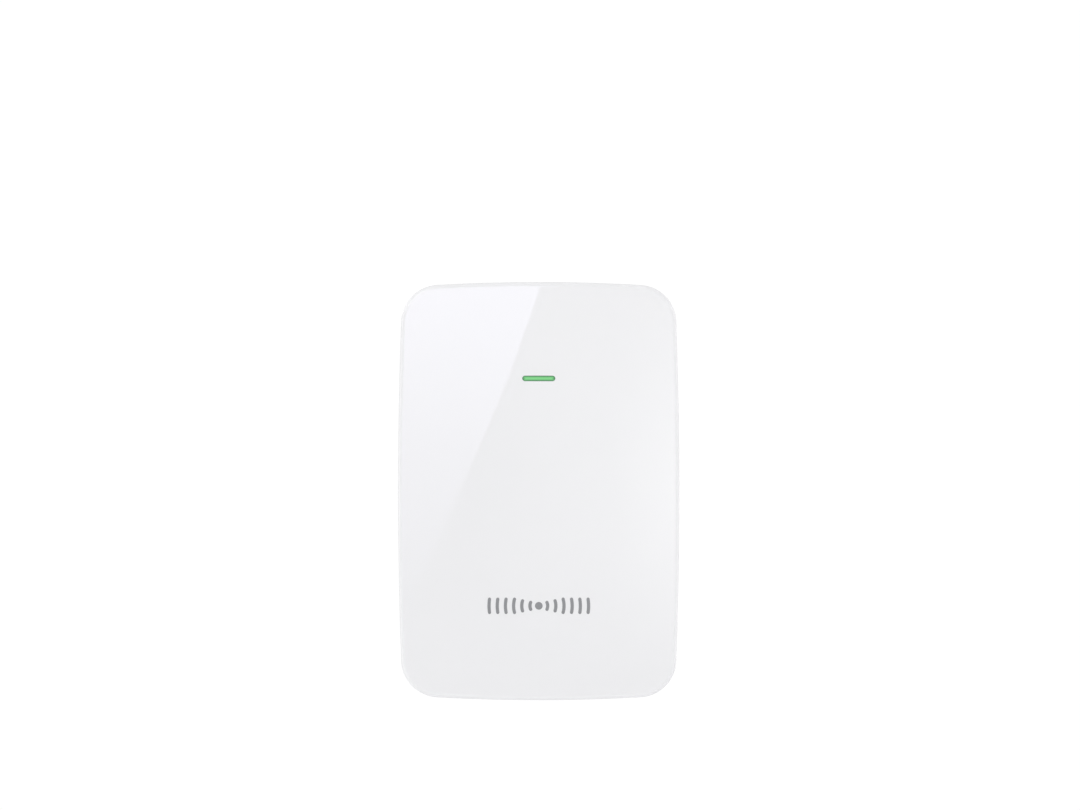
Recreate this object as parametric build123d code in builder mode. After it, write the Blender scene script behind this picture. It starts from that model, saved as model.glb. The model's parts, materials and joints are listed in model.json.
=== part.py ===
from build123d import *
import os
from math import radians, sqrt, tan

# Plug-in wireless range extender, as it comes apart on a bench: a crowned front cover, a deep back cover
# with the mains plug, a mains power board, a radio board with its network socket and two switches, two
# antennas, and the fasteners, pads and seals between them.
#
# The wall is the plane Y = 0 and the room is towards -Y, with +Z up. The origin lies on the wall plane,
# midway between the two mains blades. A "depth" is a distance in front of the wall, so depth 30 is y = -30.
# A place on a plane parallel to the wall is (x, z). Millimetres and degrees.

# ---------------------------------------------------------------- driving dimensions

# Case
WIDTH, HEIGHT, DEPTH = 70.0, 104.0, 30.0
PLUG_BELOW_TOP = 22.0  # from the top of the case down to the middle of the blades
MIDDLE_Z = PLUG_BELOW_TOP - HEIGHT / 2
BOTTOM_Z = PLUG_BELOW_TOP - HEIGHT
CORNER_R = 9.5
SIDE_BOW_R, END_BOW_R = 1200.0, 450.0  # the long and the short sides bow outwards slightly
CROWN_R = 1500.0  # the front face is part of a large sphere
RIM_R = 1.0
BACK_EDGE_R = 3.0
SEAM_DEPTH = 21.5  # where the front cover meets the back cover
SEAM_CHAMFER = 0.25
FRONT_DRAFT, BACK_DRAFT = 2.0, 4.0
WALL, BACK_WALL = 2.0, 2.2
TONGUE_T, TONGUE_H, TONGUE_GAP = 0.9, 1.8, 0.1  # the back cover's tongue inside the front cover's rim

# Case screws: they clamp the radio board between the back cover's columns and the front cover's bosses
CASE_SCREW_X, CASE_SCREW_Z = 25.0, (12.0, -72.0)
COLUMN_R, BOSS_R = 4.2, 3.3
COLUMN_CLEARANCE = 0.4  # round a column, in the boards and films that it passes through
WELL_R, WELL_DEPTH = 3.0, 13.0
CASE_SCREW_HEAD_R, CASE_SCREW_HEAD_H, CASE_SCREW_R = 2.6, 1.8, 1.5
SHANK_HOLE_R, PILOT_R, PILOT_END = 1.65, 1.53, 26.6
SCREW_END = 26.2
SMALL_SCREW_PLACES = ((-25.5, -21.5), (25.5, -21.5), (0.0, 13.0))
SMALL_BOSS_R, SMALL_PILOT_R, SMALL_PILOT_START = 2.6, 1.28, 1.5
SMALL_HEAD_R, SMALL_HEAD_H, SMALL_SCREW_R, SMALL_HOLE_R, SMALL_SCREW_END = 1.9, 1.4, 1.25, 1.35, 1.8

# Boards
POWER_BACK, POWER_FRONT = 5.0, 6.6
POWER_X, POWER_Z, POWER_MIDDLE_Z = 56.0, 40.0, -4.0
MAIN_BACK, MAIN_FRONT = 20.4, 21.6
MAIN_INSIDE = 2.6  # the radio board's edge within the case's outside
SHEET_T = 0.3  # the insulating sheet stuck to the back of the radio board

# Mains plug: two flat blades
BLADE_X, BLADE_W, BLADE_T, BLADE_L = 6.35, 6.35, 1.5, 16.0
BLADE_HOLE_R, BLADE_HOLE_Y, BLADE_TIP_CHAMFER = 1.55, 11.9, 1.6
PLUG_BASE_W, PLUG_BASE_H, PLUG_BASE_R, PLUG_BASE_SINK = 23.0, 15.0, 3.0, 0.15
PLUG_BASE_FRONT, PLUG_FLANGE, PLUG_FLANGE_T = 4.8, 1.5, 1.5
BLADE_TAIL_L, BLADE_TAIL_H = 3.4, 2.5  # beyond the plug's base, through the power board
BEVEL_ACROSS, BEVEL_ALONG = 0.45, 1.1

# Rating label, in a shallow recess in the back
LABEL_Z, LABEL_W, LABEL_H, LABEL_R = -44.0, 39.4, 33.4, 1.8
LABEL_GAP, LABEL_RECESS, LABEL_T = 0.3, 0.2, 0.12

# Status light
LIGHT_Z, LIGHT_W, LIGHT_H = -2.0, 8.2, 1.35
LIGHT_GAP, LIGHT_SINK = 0.05, 0.02
LIGHT_FLANGE_W, LIGHT_FLANGE_H, LIGHT_FLANGE_START, LIGHT_FLANGE_END = 11.0, 4.0, 26.65, 27.65
LIGHT_STEM_W, LIGHT_STEM_H, LIGHT_STEM_START = 6.0, 2.4, 23.0
COLLAR_W, COLLAR_H, COLLAR_T, COLLAR_START = 15.0, 8.0, 1.35, 25.6
GASKET_W, GASKET_H, GASKET_GAP = 10.0, 5.0, 0.1

# Side controls, on the right-hand wall
CONTROL_DEPTH = 16.8
BUTTON_Z, RESET_Z = -48.0, -60.0
BUTTON_L, BUTTON_H, BUTTON_GAP = 8.0, 4.0, 0.2
RESET_HOLE_R = 1.1
SWITCH_FACE_X, SWITCH_T, SWITCH_SIDE = 29.7, 3.8, 6.0
PLUNGER_R, PLUNGER_BORE_R, PLUNGER_REST_X = 1.72, 1.8, 30.9
BUTTON_FLANGE_X, BUTTON_FLANGE_T, BUTTON_FACE_X, BUTTON_NUB_R = 31.1, 0.8, 34.8, 1.4
BUTTON_FLANGE_W, BUTTON_FLANGE_L = 6.0, 11.0
GUIDE_START, GUIDE_END, GUIDE_W, GUIDE_T, GUIDE_GAP = 30.3, 33.0, 6.6, 1.0, 0.3
CONTROL_HOLE_START = 31.0

# Network socket, facing down
SOCKET_W, SOCKET_BACK, SOCKET_L = 15.9, 9.2, 16.1
SOCKET_CAVITY_W, SOCKET_CAVITY_BACK, SOCKET_CAVITY_FRONT, SOCKET_CAVITY_L = 11.9, 12.4, 19.2, 12.7
CONTACT_PITCH, CONTACT_W = 1.02, 0.45
SOCKET_LATCH_W, SOCKET_LATCH_H, SOCKET_KEY_W, SOCKET_KEY_H = 6.4, 1.4, 3.3, 0.9
SOCKET_FACE_Z, SOCKET_MOUTH_GAP, SOCKET_MOUTH_L = -80.5, 0.25, 8.0
SADDLE_X, SADDLE_T, SADDLE_L, SADDLE_Z = 5.0, 1.2, 9.0, -73.0
SHELL_T = 0.25

# Vents
VENT_W, VENT_L, VENT_PITCH, VENT_DEPTH = 1.6, 8.0, 3.0, 10.0
SIDE_VENTS, SIDE_VENT_TOP_Z = 9, 3.0
TOP_VENTS, TOP_VENT_START = 15, PLUG_BELOW_TOP - 6.0
BOTTOM_VENTS, BOTTOM_VENT_X = 4, 12.0  # on each side of the network socket
VENT_CUT = 8.0

# Radio parts on the board
CHIP_X, CHIP_Z = 8.0, -42.0
CAN_W, CAN_L, CAN_H, CAN_T = 36.0, 22.0, 2.2, 0.2
SINK_Z, SINK_W, SINK_L, SINK_PAD_T, SINK_BASE_T, SINK_FIN_H = -44.0, 46.0, 28.0, 0.5, 2.0, 6.0
SINK_FINS, SINK_FIN_T = 12, 1.0
ANTENNA_X, ANTENNA_T = 30.9, 0.8  # the inner face's distance from the middle, and the thickness
ANTENNA_BACK, ANTENNA_FRONT = 22.3, 27.0
ANTENNA_LOW_Z, ANTENNA_HIGH_Z = -26.0, 8.0
ANTENNA_RIB_INSIDE, ANTENNA_RIB_T, ANTENNA_RIB_W, ANTENNA_RIB_START = 6.0, 1.2, 3.0, 23.0
COAX_R, COAX_BEND_R, COAX_START_Z = 0.565, 3.0, ANTENNA_LOW_Z + 2.4
COAX_PLUG_X, COAX_PLUG_Z, COAX_DEPTH = 13.2, -31.0, 22.6

os.makedirs("parts", exist_ok=True)


# ---------------------------------------------------------------- shapes used more than once


def keep(piece, name):
    """Labels a finished piece and writes it as its own STEP file."""
    piece.part.label = name
    export_step(piece.part, f"parts/{name}.step")


def case_inset(depth):
    """How far the case's outside lies within its widest outline, at a depth."""
    front = (DEPTH - max(depth, SEAM_DEPTH)) * tan(radians(FRONT_DRAFT))
    return front + max(SEAM_DEPTH - depth, 0.0) * tan(radians(BACK_DRAFT))


def case_profile(depth, inside=0.0):
    """The bowed, round-cornered outline of the case at a depth, drawn inside it by a distance.

    Each corner arc touches the end's arc and the side's arc, so its centre lies where two circles cross.
    """
    inset = case_inset(depth) + inside
    half_w, half_h = WIDTH / 2, HEIGHT / 2
    end, side = Vector(0, half_h - END_BOW_R), Vector(half_w - SIDE_BOW_R, 0)
    to_side = side - end
    end_reach, side_reach = END_BOW_R - CORNER_R, SIDE_BOW_R - CORNER_R
    along = (end_reach**2 - side_reach**2 + to_side.length**2) / (2 * to_side.length)
    across = sqrt(end_reach**2 - along**2)
    unit = to_side.normalized()
    corner = end + unit * along + Vector(unit.Y, -unit.X) * across
    if corner.X < 0:
        corner = end + unit * along - Vector(unit.Y, -unit.X) * across
    on_end = end + (corner - end).normalized() * (END_BOW_R - inset)
    on_side = side + (corner - side).normalized() * (SIDE_BOW_R - inset)
    on_corner = corner + (on_end + on_side - corner * 2).normalized() * (CORNER_R - inset)
    with BuildSketch(Plane.XZ.offset(depth)) as profile:
        with BuildLine():
            for flip in (1, -1):
                middle = (0, MIDDLE_Z + flip * (half_h - inset))
                left = (-on_end.X, MIDDLE_Z + flip * on_end.Y)
                ThreePointArc(left, middle, (on_end.X, MIDDLE_Z + flip * on_end.Y))
                low, high = MIDDLE_Z - on_side.Y, MIDDLE_Z + on_side.Y
                side_x = flip * on_side.X
                middle = (flip * (half_w - inset), MIDDLE_Z)
                ThreePointArc((side_x, low), middle, (side_x, high))
                for side_flip in (1, -1):
                    ThreePointArc(
                        (side_flip * on_end.X, MIDDLE_Z + flip * on_end.Y),
                        (side_flip * on_corner.X, MIDDLE_Z + flip * on_corner.Y),
                        (side_flip * on_side.X, MIDDLE_Z + flip * on_side.Y),
                    )
        make_face()
    return profile.sketch


def case_block(start, end, inside=0.0):
    """The solid between the case's outlines at two depths, drawn inside it by a distance."""
    with BuildPart() as piece:
        loft([case_profile(start, inside).face(), case_profile(end, inside).face()], ruled=True)
    return piece


def crown(sink):
    """A ball whose surface is the front face, sunk by a distance towards the wall."""
    with BuildPart() as ball:
        with Locations((0, CROWN_R - DEPTH, MIDDLE_Z)):
            Sphere(CROWN_R - sink)
    return ball.part


def slab(x, z, width, height, start, end, corner=0.0):
    """A block with its faces parallel to the wall, between two depths."""
    with BuildPart() as piece:
        with BuildSketch(Plane.XZ.offset(start)):
            with Locations((x, z)):
                if corner:
                    RectangleRounded(width, height, corner)
                else:
                    Rectangle(width, height)
        extrude(amount=end - start)
    return piece


def post(x, z, radius, start, end):
    """A round pillar between two depths."""
    with BuildPart() as piece:
        with BuildSketch(Plane.XZ.offset(start)):
            with Locations((x, z)):
                Circle(radius)
        extrude(amount=end - start)
    return piece


def screw(x, z, seat, end, head_r, head_h, thread_r, direction=1):
    """A pan-head screw with a cross recess. Its head rests at the depth seat, and its point is at end."""
    pitch, core_r, point_l = thread_r * 0.36, thread_r * 0.8, thread_r * 1.2
    length = abs(end - seat)
    turns = int((length - point_l - pitch) / pitch)
    plane = Plane(origin=(x, -seat, z), x_dir=(1, 0, 0), z_dir=(0, 0, 1))
    with BuildPart() as piece:
        with BuildSketch(plane):
            with BuildLine():
                outline = [(0, head_h * direction), (head_r * 0.75, head_h * direction)]
                outline += [(head_r, head_h * 0.55 * direction), (head_r, 0), (core_r, 0)]
                for turn in range(turns):
                    start = -(turn + 1) * pitch * direction
                    outline += [(core_r, start), (thread_r, start - pitch / 2 * direction)]
                outline += [(core_r, -(turns + 1) * pitch * direction)]
                outline += [(core_r, -(length - point_l) * direction), (0, -length * direction)]
                Polyline(*outline, close=True)
            make_face()
        revolve(axis=Axis((x, -seat, z), (0, 1, 0)))
        recess = Plane.XZ.offset(seat - head_h * direction)
        with BuildSketch(recess):
            with Locations((x, z)):
                Rectangle(head_r * 1.1, head_r * 0.26)
                Rectangle(head_r * 0.26, head_r * 1.1)
        extrude(amount=head_h * 0.6 * direction, mode=Mode.SUBTRACT)
    return piece


def capacitor(x, z, radius, height):
    """A standing electrolytic can with the crimped groove near its foot."""
    foot, groove, sink = 1.0, 0.6, 0.35
    with BuildPart() as piece:
        add(post(x, z, radius, POWER_FRONT, POWER_FRONT + foot).part)
        add(post(x, z, radius - sink, POWER_FRONT + foot, POWER_FRONT + foot + groove).part)
        add(post(x, z, radius, POWER_FRONT + foot + groove, POWER_FRONT + height).part)
        fillet(piece.edges().sort_by(Axis.Y)[0], radius * 0.12)
    return piece


def disc(x, z, radius, thickness, along):
    """A dipped disc on edge with its two leads, standing on the power board."""
    middle = POWER_FRONT + radius + 0.8
    lead_gap, lead_r = radius * 1.1, 0.3
    plane = Plane(origin=(x, -middle, z), x_dir=(0, 1, 0), z_dir=along)
    side = Vector(0, 1, 0).cross(Vector(*along))
    with BuildPart() as piece:
        with BuildSketch(plane.offset(-thickness / 2)):
            Circle(radius)
        extrude(amount=thickness)
        fillet(piece.edges().filter_by(GeomType.CIRCLE), thickness * 0.35)
        for sign in (-1, 1):
            place = Vector(x, 0, z) + side * (sign * lead_gap / 2)
            add(post(place.X, place.Z, lead_r, POWER_FRONT, middle).part)
    return piece


def side_block(x_start, x_end, depth, z, across, high, corner=0.0):
    """A block that stands on the right-hand wall's direction: across is along depth, high along Z."""
    with BuildPart() as piece:
        with BuildSketch(Plane.YZ.offset(x_start)):
            with Locations((-depth, z)):
                if corner:
                    RectangleRounded(across, high, corner)
                else:
                    Rectangle(across, high)
        extrude(amount=x_end - x_start)
    return piece


def side_post(x_start, x_end, depth, z, radius):
    """A round bar along X."""
    with BuildPart() as piece:
        with BuildSketch(Plane.YZ.offset(x_start)):
            with Locations((-depth, z)):
                Circle(radius)
        extrude(amount=x_end - x_start)
    return piece


CASE_SCREW_PLACES = [(x, z) for x in (-CASE_SCREW_X, CASE_SCREW_X) for z in CASE_SCREW_Z]


# ---------------------------------------------------------------- front cover

with BuildPart() as front_cavity:
    add(case_block(SEAM_DEPTH, DEPTH, WALL).part)
    add(crown(WALL), mode=Mode.INTERSECT)

with BuildPart() as front_rebate:
    extrude(case_profile(SEAM_DEPTH, WALL - TONGUE_T - TONGUE_GAP), amount=TONGUE_H + 2 * TONGUE_GAP)

with BuildPart() as front_cover:
    add(case_block(SEAM_DEPTH, DEPTH).part)
    add(crown(0.0), mode=Mode.INTERSECT)
    fillet(front_cover.faces().sort_by(Axis.Y)[0].edges(), RIM_R)
    chamfer(front_cover.faces().sort_by(Axis.Y)[-1].edges(), SEAM_CHAMFER)
    add(front_cavity.part, mode=Mode.SUBTRACT)
    add(front_rebate.part, mode=Mode.SUBTRACT)
    # screw bosses reach down to the radio board and are rooted in the front wall
    for x, z in CASE_SCREW_PLACES:
        add(post(x, z, BOSS_R, MAIN_FRONT, DEPTH - WALL).part)
    for x, z in CASE_SCREW_PLACES:
        add(post(x, z, PILOT_R, MAIN_FRONT, PILOT_END).part, mode=Mode.SUBTRACT)
    # collar that holds the light pipe, and the slot that its bar fills
    with BuildSketch(Plane.XZ.offset(COLLAR_START)):
        with Locations((0, LIGHT_Z)):
            Rectangle(COLLAR_W, COLLAR_H)
            Rectangle(COLLAR_W - 2 * COLLAR_T, COLLAR_H - 2 * COLLAR_T, mode=Mode.SUBTRACT)
    extrude(amount=DEPTH - WALL - COLLAR_START)
    with BuildSketch(Plane.XZ.offset(COLLAR_START)):
        with Locations((0, LIGHT_Z)):
            SlotOverall(LIGHT_W, LIGHT_H)
    extrude(amount=DEPTH - COLLAR_START, mode=Mode.SUBTRACT)
    # ribs that hold each antenna strip against the side wall
    rib_x = ANTENNA_X - 0.2 - ANTENNA_RIB_T / 2
    for side in (-1, 1):
        for z in (ANTENNA_LOW_Z + ANTENNA_RIB_INSIDE, ANTENNA_HIGH_Z - ANTENNA_RIB_INSIDE):
            rib = slab(side * rib_x, z, ANTENNA_RIB_T, ANTENNA_RIB_W, ANTENNA_RIB_START, DEPTH - WALL)
            add(rib.part)
keep(front_cover, "front_cover")


# ---------------------------------------------------------------- back cover

with BuildPart() as back_cavity:
    add(case_block(BACK_WALL, SEAM_DEPTH, WALL).part)

with BuildPart() as back_cover:
    add(case_block(0.0, SEAM_DEPTH).part)
    fillet(back_cover.faces().sort_by(Axis.Y)[-1].edges(), BACK_EDGE_R)
    chamfer(back_cover.faces().sort_by(Axis.Y)[0].edges(), SEAM_CHAMFER)
    add(back_cavity.part, mode=Mode.SUBTRACT)
    # tongue that stands into the front cover's rebate
    extrude(case_profile(SEAM_DEPTH, WALL - TONGUE_T), amount=TONGUE_H)
    extrude(case_profile(SEAM_DEPTH, WALL), amount=TONGUE_H, mode=Mode.SUBTRACT)
    # screw columns with their wells from behind
    for x, z in CASE_SCREW_PLACES:
        add(post(x, z, COLUMN_R, BACK_WALL / 2, MAIN_BACK).part)
    for x, z in SMALL_SCREW_PLACES:
        add(post(x, z, SMALL_BOSS_R, BACK_WALL / 2, POWER_BACK).part)
    for x, z in CASE_SCREW_PLACES:
        add(post(x, z, WELL_R, 0, WELL_DEPTH).part, mode=Mode.SUBTRACT)
        add(post(x, z, SHANK_HOLE_R, WELL_DEPTH, MAIN_BACK).part, mode=Mode.SUBTRACT)
    for x, z in SMALL_SCREW_PLACES:
        add(post(x, z, SMALL_PILOT_R, SMALL_PILOT_START, POWER_BACK).part, mode=Mode.SUBTRACT)
    # saddle ribs under the network socket
    for x in (-SADDLE_X, SADDLE_X):
        add(slab(x, SADDLE_Z, SADDLE_T, SADDLE_L, BACK_WALL / 2, SOCKET_BACK).part)
    # ribs above and below the button's flange
    guide_away = BUTTON_FLANGE_L / 2 + GUIDE_GAP + GUIDE_T / 2
    for z in (BUTTON_Z - guide_away, BUTTON_Z + guide_away):
        add(side_block(GUIDE_START, GUIDE_END, CONTROL_DEPTH, z, GUIDE_W, GUIDE_T).part)
    # window for the plug's base
    add(
        slab(0, 0, PLUG_BASE_W, PLUG_BASE_H, 0, BACK_WALL, PLUG_BASE_R).part,
        mode=Mode.SUBTRACT,
    )
    # recess for the rating label
    recess_w, recess_h = LABEL_W + 2 * LABEL_GAP, LABEL_H + 2 * LABEL_GAP
    recess = slab(0, LABEL_Z, recess_w, recess_h, 0, LABEL_RECESS, LABEL_R + LABEL_GAP)
    add(recess.part, mode=Mode.SUBTRACT)
    # mouth of the network socket
    add(
        slab(
            0,
            SOCKET_FACE_Z - 1.0,
            SOCKET_W + 2 * SOCKET_MOUTH_GAP,
            SOCKET_MOUTH_L,
            SOCKET_BACK - SOCKET_MOUTH_GAP,
            MAIN_BACK + SOCKET_MOUTH_GAP,
        ).part,
        mode=Mode.SUBTRACT,
    )
    # side openings for the button and the reset switch
    add(
        side_block(
            CONTROL_HOLE_START,
            WIDTH / 2,
            CONTROL_DEPTH,
            BUTTON_Z,
            BUTTON_H + 2 * BUTTON_GAP,
            BUTTON_L + 2 * BUTTON_GAP,
            BUTTON_H / 2,
        ).part,
        mode=Mode.SUBTRACT,
    )
    reset_hole = side_post(CONTROL_HOLE_START, WIDTH / 2, CONTROL_DEPTH, RESET_Z, RESET_HOLE_R)
    add(reset_hole.part, mode=Mode.SUBTRACT)
    # vents through both side walls, the top and the bottom
    with BuildSketch(Plane.YZ.offset(-WIDTH / 2)):
        for row in range(SIDE_VENTS):
            with Locations((-VENT_DEPTH, SIDE_VENT_TOP_Z - row * VENT_PITCH)):
                SlotOverall(VENT_L, VENT_W)
    extrude(amount=WIDTH, mode=Mode.SUBTRACT)
    with BuildSketch(Plane.XY.offset(TOP_VENT_START)):
        for column in range(TOP_VENTS):
            with Locations(((column - (TOP_VENTS - 1) / 2) * VENT_PITCH, -VENT_DEPTH)):
                SlotOverall(VENT_L, VENT_W, rotation=90)
    extrude(amount=VENT_CUT, mode=Mode.SUBTRACT)
    with BuildSketch(Plane.XY.offset(BOTTOM_Z - VENT_CUT / 2)):
        for side in (-1, 1):
            for column in range(BOTTOM_VENTS):
                with Locations((side * (BOTTOM_VENT_X + column * VENT_PITCH), -VENT_DEPTH)):
                    SlotOverall(VENT_L, VENT_W, rotation=90)
    extrude(amount=VENT_CUT, mode=Mode.SUBTRACT)
keep(back_cover, "back_cover")

with BuildPart() as case_screws:
    for x, z in CASE_SCREW_PLACES:
        fastener = screw(
            x, z, WELL_DEPTH, SCREW_END, CASE_SCREW_HEAD_R, CASE_SCREW_HEAD_H, CASE_SCREW_R
        )
        add(fastener.part)
keep(case_screws, "case_screws")

rating_label = slab(0, LABEL_Z, LABEL_W, LABEL_H, LABEL_RECESS - LABEL_T, LABEL_RECESS, LABEL_R)
keep(rating_label, "rating_label")


# ---------------------------------------------------------------- status light

with BuildPart() as status_light_pipe:
    flange = (LIGHT_FLANGE_W, LIGHT_FLANGE_H, LIGHT_FLANGE_START, LIGHT_FLANGE_END, 0.6)
    add(slab(0, LIGHT_Z, *flange).part)
    add(slab(0, LIGHT_Z, LIGHT_STEM_W, LIGHT_STEM_H, LIGHT_STEM_START, LIGHT_FLANGE_START, 0.4).part)
    with BuildSketch(Plane.XZ.offset(LIGHT_FLANGE_END)):
        with Locations((0, LIGHT_Z)):
            SlotOverall(LIGHT_W - 2 * LIGHT_GAP, LIGHT_H - 2 * LIGHT_GAP)
    extrude(amount=DEPTH - LIGHT_FLANGE_END)
    add(crown(LIGHT_SINK), mode=Mode.INTERSECT)
keep(status_light_pipe, "status_light_pipe")

with BuildPart() as light_gasket:
    add(slab(0, LIGHT_Z, GASKET_W, GASKET_H, MAIN_FRONT, LIGHT_FLANGE_START, 0.8).part)
    hole_w, hole_h = LIGHT_STEM_W + 2 * GASKET_GAP, LIGHT_STEM_H + 2 * GASKET_GAP
    hole = slab(0, LIGHT_Z, hole_w, hole_h, MAIN_FRONT, LIGHT_FLANGE_START, 0.5)
    add(hole.part, mode=Mode.SUBTRACT)
keep(light_gasket, "light_gasket")

with BuildPart() as status_led:
    add(slab(0, LIGHT_Z, 3.2, 1.6, MAIN_FRONT, MAIN_FRONT + 0.45).part)
    add(slab(0, LIGHT_Z, 2.2, 1.5, MAIN_FRONT + 0.45, MAIN_FRONT + 0.8, 0.3).part)
keep(status_led, "status_led")


# ---------------------------------------------------------------- mains plug

with BuildPart() as plug_base:
    add(
        slab(
            0,
            0,
            PLUG_BASE_W - 0.2,
            PLUG_BASE_H - 0.2,
            PLUG_BASE_SINK,
            PLUG_BASE_FRONT,
            PLUG_BASE_R - 0.1,
        ).part
    )
    flange_w, flange_h = PLUG_BASE_W + 2 * PLUG_FLANGE, PLUG_BASE_H + 2 * PLUG_FLANGE
    add(slab(0, 0, flange_w, flange_h, BACK_WALL, BACK_WALL + PLUG_FLANGE_T, PLUG_BASE_R).part)
    for side in (-1, 1):
        add(
            slab(side * BLADE_X, 0, BLADE_T + 0.04, BLADE_W + 0.04, 0, PLUG_BASE_FRONT).part,
            mode=Mode.SUBTRACT,
        )
keep(plug_base, "plug_base")


def blade(side):
    """One flat mains blade with its solder tail; it passes through the plug's base."""
    base, tail = -PLUG_BASE_FRONT, -PLUG_BASE_FRONT - BLADE_TAIL_L
    half, tail_half = BLADE_W / 2, BLADE_TAIL_H / 2
    with BuildPart() as piece:
        with BuildSketch(Plane.YZ.offset(side * BLADE_X - BLADE_T / 2)):
            with BuildLine():
                outline = [(BLADE_L, half - BLADE_TIP_CHAMFER), (BLADE_L - BLADE_TIP_CHAMFER, half)]
                outline += [(base, half), (base, tail_half), (tail, tail_half)]
                mirrored = [(y, -z) for y, z in reversed(outline)]
                Polyline(*outline, *mirrored, close=True)
            make_face()
            with Locations((BLADE_HOLE_Y, 0)):
                Circle(BLADE_HOLE_R, mode=Mode.SUBTRACT)
        extrude(amount=BLADE_T)
        # the tip is bevelled on both faces so that it finds the slot
        for bevel in (-1, 1):
            edge = piece.edges().filter_by(Axis.Z).sort_by(Axis.Y)[-2:]
            chosen = [tip for tip in edge if bevel * (tip.center().X - side * BLADE_X) > 0]
            chamfer(chosen, BEVEL_ACROSS, BEVEL_ALONG, reference=piece.faces().sort_by(Axis.Y)[-1])
    return piece


line_blade = blade(1)
keep(line_blade, "line_blade")
neutral_blade = blade(-1)
keep(neutral_blade, "neutral_blade")


# ---------------------------------------------------------------- mains power board

DC_LINK_X, DC_LINK_Z, DC_LINK_PITCH = 13.0, 8.0, 2.54
DC_PINS = [DC_LINK_X + (pin - 1.5) * DC_LINK_PITCH for pin in range(4)]

with BuildPart() as power_board:
    add(slab(0, POWER_MIDDLE_Z, POWER_X, POWER_Z, POWER_BACK, POWER_FRONT, 1.5).part)
    for side in (-1, 1):
        add(
            post(
                side * CASE_SCREW_X,
                CASE_SCREW_Z[0],
                COLUMN_R + COLUMN_CLEARANCE,
                POWER_BACK,
                POWER_FRONT,
            ).part,
            mode=Mode.SUBTRACT,
        )
        add(
            slab(side * BLADE_X, 0, BLADE_T + 0.4, BLADE_TAIL_H + 0.4, POWER_BACK, POWER_FRONT).part,
            mode=Mode.SUBTRACT,
        )
    for x, z in SMALL_SCREW_PLACES:
        add(post(x, z, SMALL_HOLE_R, POWER_BACK, POWER_FRONT).part, mode=Mode.SUBTRACT)
    # isolation slot between the mains side and the low-voltage side
    add(slab(11.5, -5.0, 1.2, 9.0, POWER_BACK, POWER_FRONT, 0.59).part, mode=Mode.SUBTRACT)
    for x in DC_PINS:
        add(post(x, DC_LINK_Z, 0.5, POWER_BACK, POWER_FRONT).part, mode=Mode.SUBTRACT)
keep(power_board, "power_board")

with BuildPart() as power_board_screws:
    for x, z in SMALL_SCREW_PLACES:
        fastener = screw(
            x, z, POWER_FRONT, SMALL_SCREW_END, SMALL_HEAD_R, SMALL_HEAD_H, SMALL_SCREW_R, -1
        )
        add(fastener.part)
keep(power_board_screws, "power_board_screws")

fuse = slab(-14.0, 9.0, 8.5, 4.0, POWER_FRONT, POWER_FRONT + 8.0, 0.6)
keep(fuse, "fuse")

varistor = disc(-16.0, 1.5, 3.5, 3.6, (1, 0, 0))
keep(varistor, "varistor")

bridge_rectifier = slab(0, 5.0, 6.8, 4.7, POWER_FRONT, POWER_FRONT + 2.5, 0.3)
keep(bridge_rectifier, "bridge_rectifier")


def drum(x, z, radius, height, lip):
    """A choke standing on the power board: a sleeved winding between two lips."""
    top = POWER_FRONT + height
    with BuildPart() as piece:
        add(post(x, z, radius, POWER_FRONT, POWER_FRONT + lip).part)
        add(post(x, z, radius - 0.4, POWER_FRONT + lip, top - lip).part)
        add(post(x, z, radius, top - lip, top).part)
    return piece


filter_choke = drum(-13.0, -8.0, radius=3.0, height=8.0, lip=1.3)
keep(filter_choke, "filter_choke")

with BuildPart() as bulk_capacitors:
    for z in (-15.5, -6.5):
        add(capacitor(-21.5, z, radius=4.0, height=11.5).part)
keep(bulk_capacitors, "bulk_capacitors")

power_controller = slab(-11.0, -19.0, 4.9, 3.9, POWER_FRONT, POWER_FRONT + 1.5, 0.2)
keep(power_controller, "power_controller")

# transformer: a bobbin with its winding on the middle leg of an E core
CORE_X, CORE_Z, CORE_DEPTH, CORE_SIZE, CORE_T = 2.0, -14.0, 12.6, 16.0, 5.0
LEG_W, WINDOW_W, WINDOW_L = 4.0, 3.9, 10.0
BOBBIN_W, BOBBIN_D, TUBE_T = 11.4, 11.6, 0.7


def around_core(z, width, length, depth):
    """A block centred on the transformer core."""
    return slab(CORE_X, z, width, length, CORE_DEPTH - depth / 2, CORE_DEPTH + depth / 2)


with BuildPart() as transformer_core:
    add(around_core(CORE_Z, CORE_SIZE, CORE_SIZE, CORE_T).part)
    with BuildSketch(Plane.XZ.offset(CORE_DEPTH - CORE_T / 2)):
        with Locations((CORE_X - (LEG_W + WINDOW_W) / 2, CORE_Z)):
            Rectangle(WINDOW_W, WINDOW_L)
        with Locations((CORE_X + (LEG_W + WINDOW_W) / 2, CORE_Z)):
            Rectangle(WINDOW_W, WINDOW_L)
    extrude(amount=CORE_T, mode=Mode.SUBTRACT)
keep(transformer_core, "transformer_core")

with BuildPart() as transformer_bobbin:
    add(around_core(CORE_Z, LEG_W + 0.2 + 2 * TUBE_T, 9.9, CORE_T + 0.2 + 2 * TUBE_T).part)
    for flip in (-1, 1):
        add(around_core(CORE_Z + flip * 4.5, BOBBIN_W, 0.9, BOBBIN_D).part)
        add(slab(CORE_X, CORE_Z + flip * 6.0, 14.0, 3.8, POWER_FRONT, 9.9).part)
    add(around_core(CORE_Z, LEG_W + 0.2, 9.9, CORE_T + 0.2).part, mode=Mode.SUBTRACT)
keep(transformer_bobbin, "transformer_bobbin")

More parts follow.
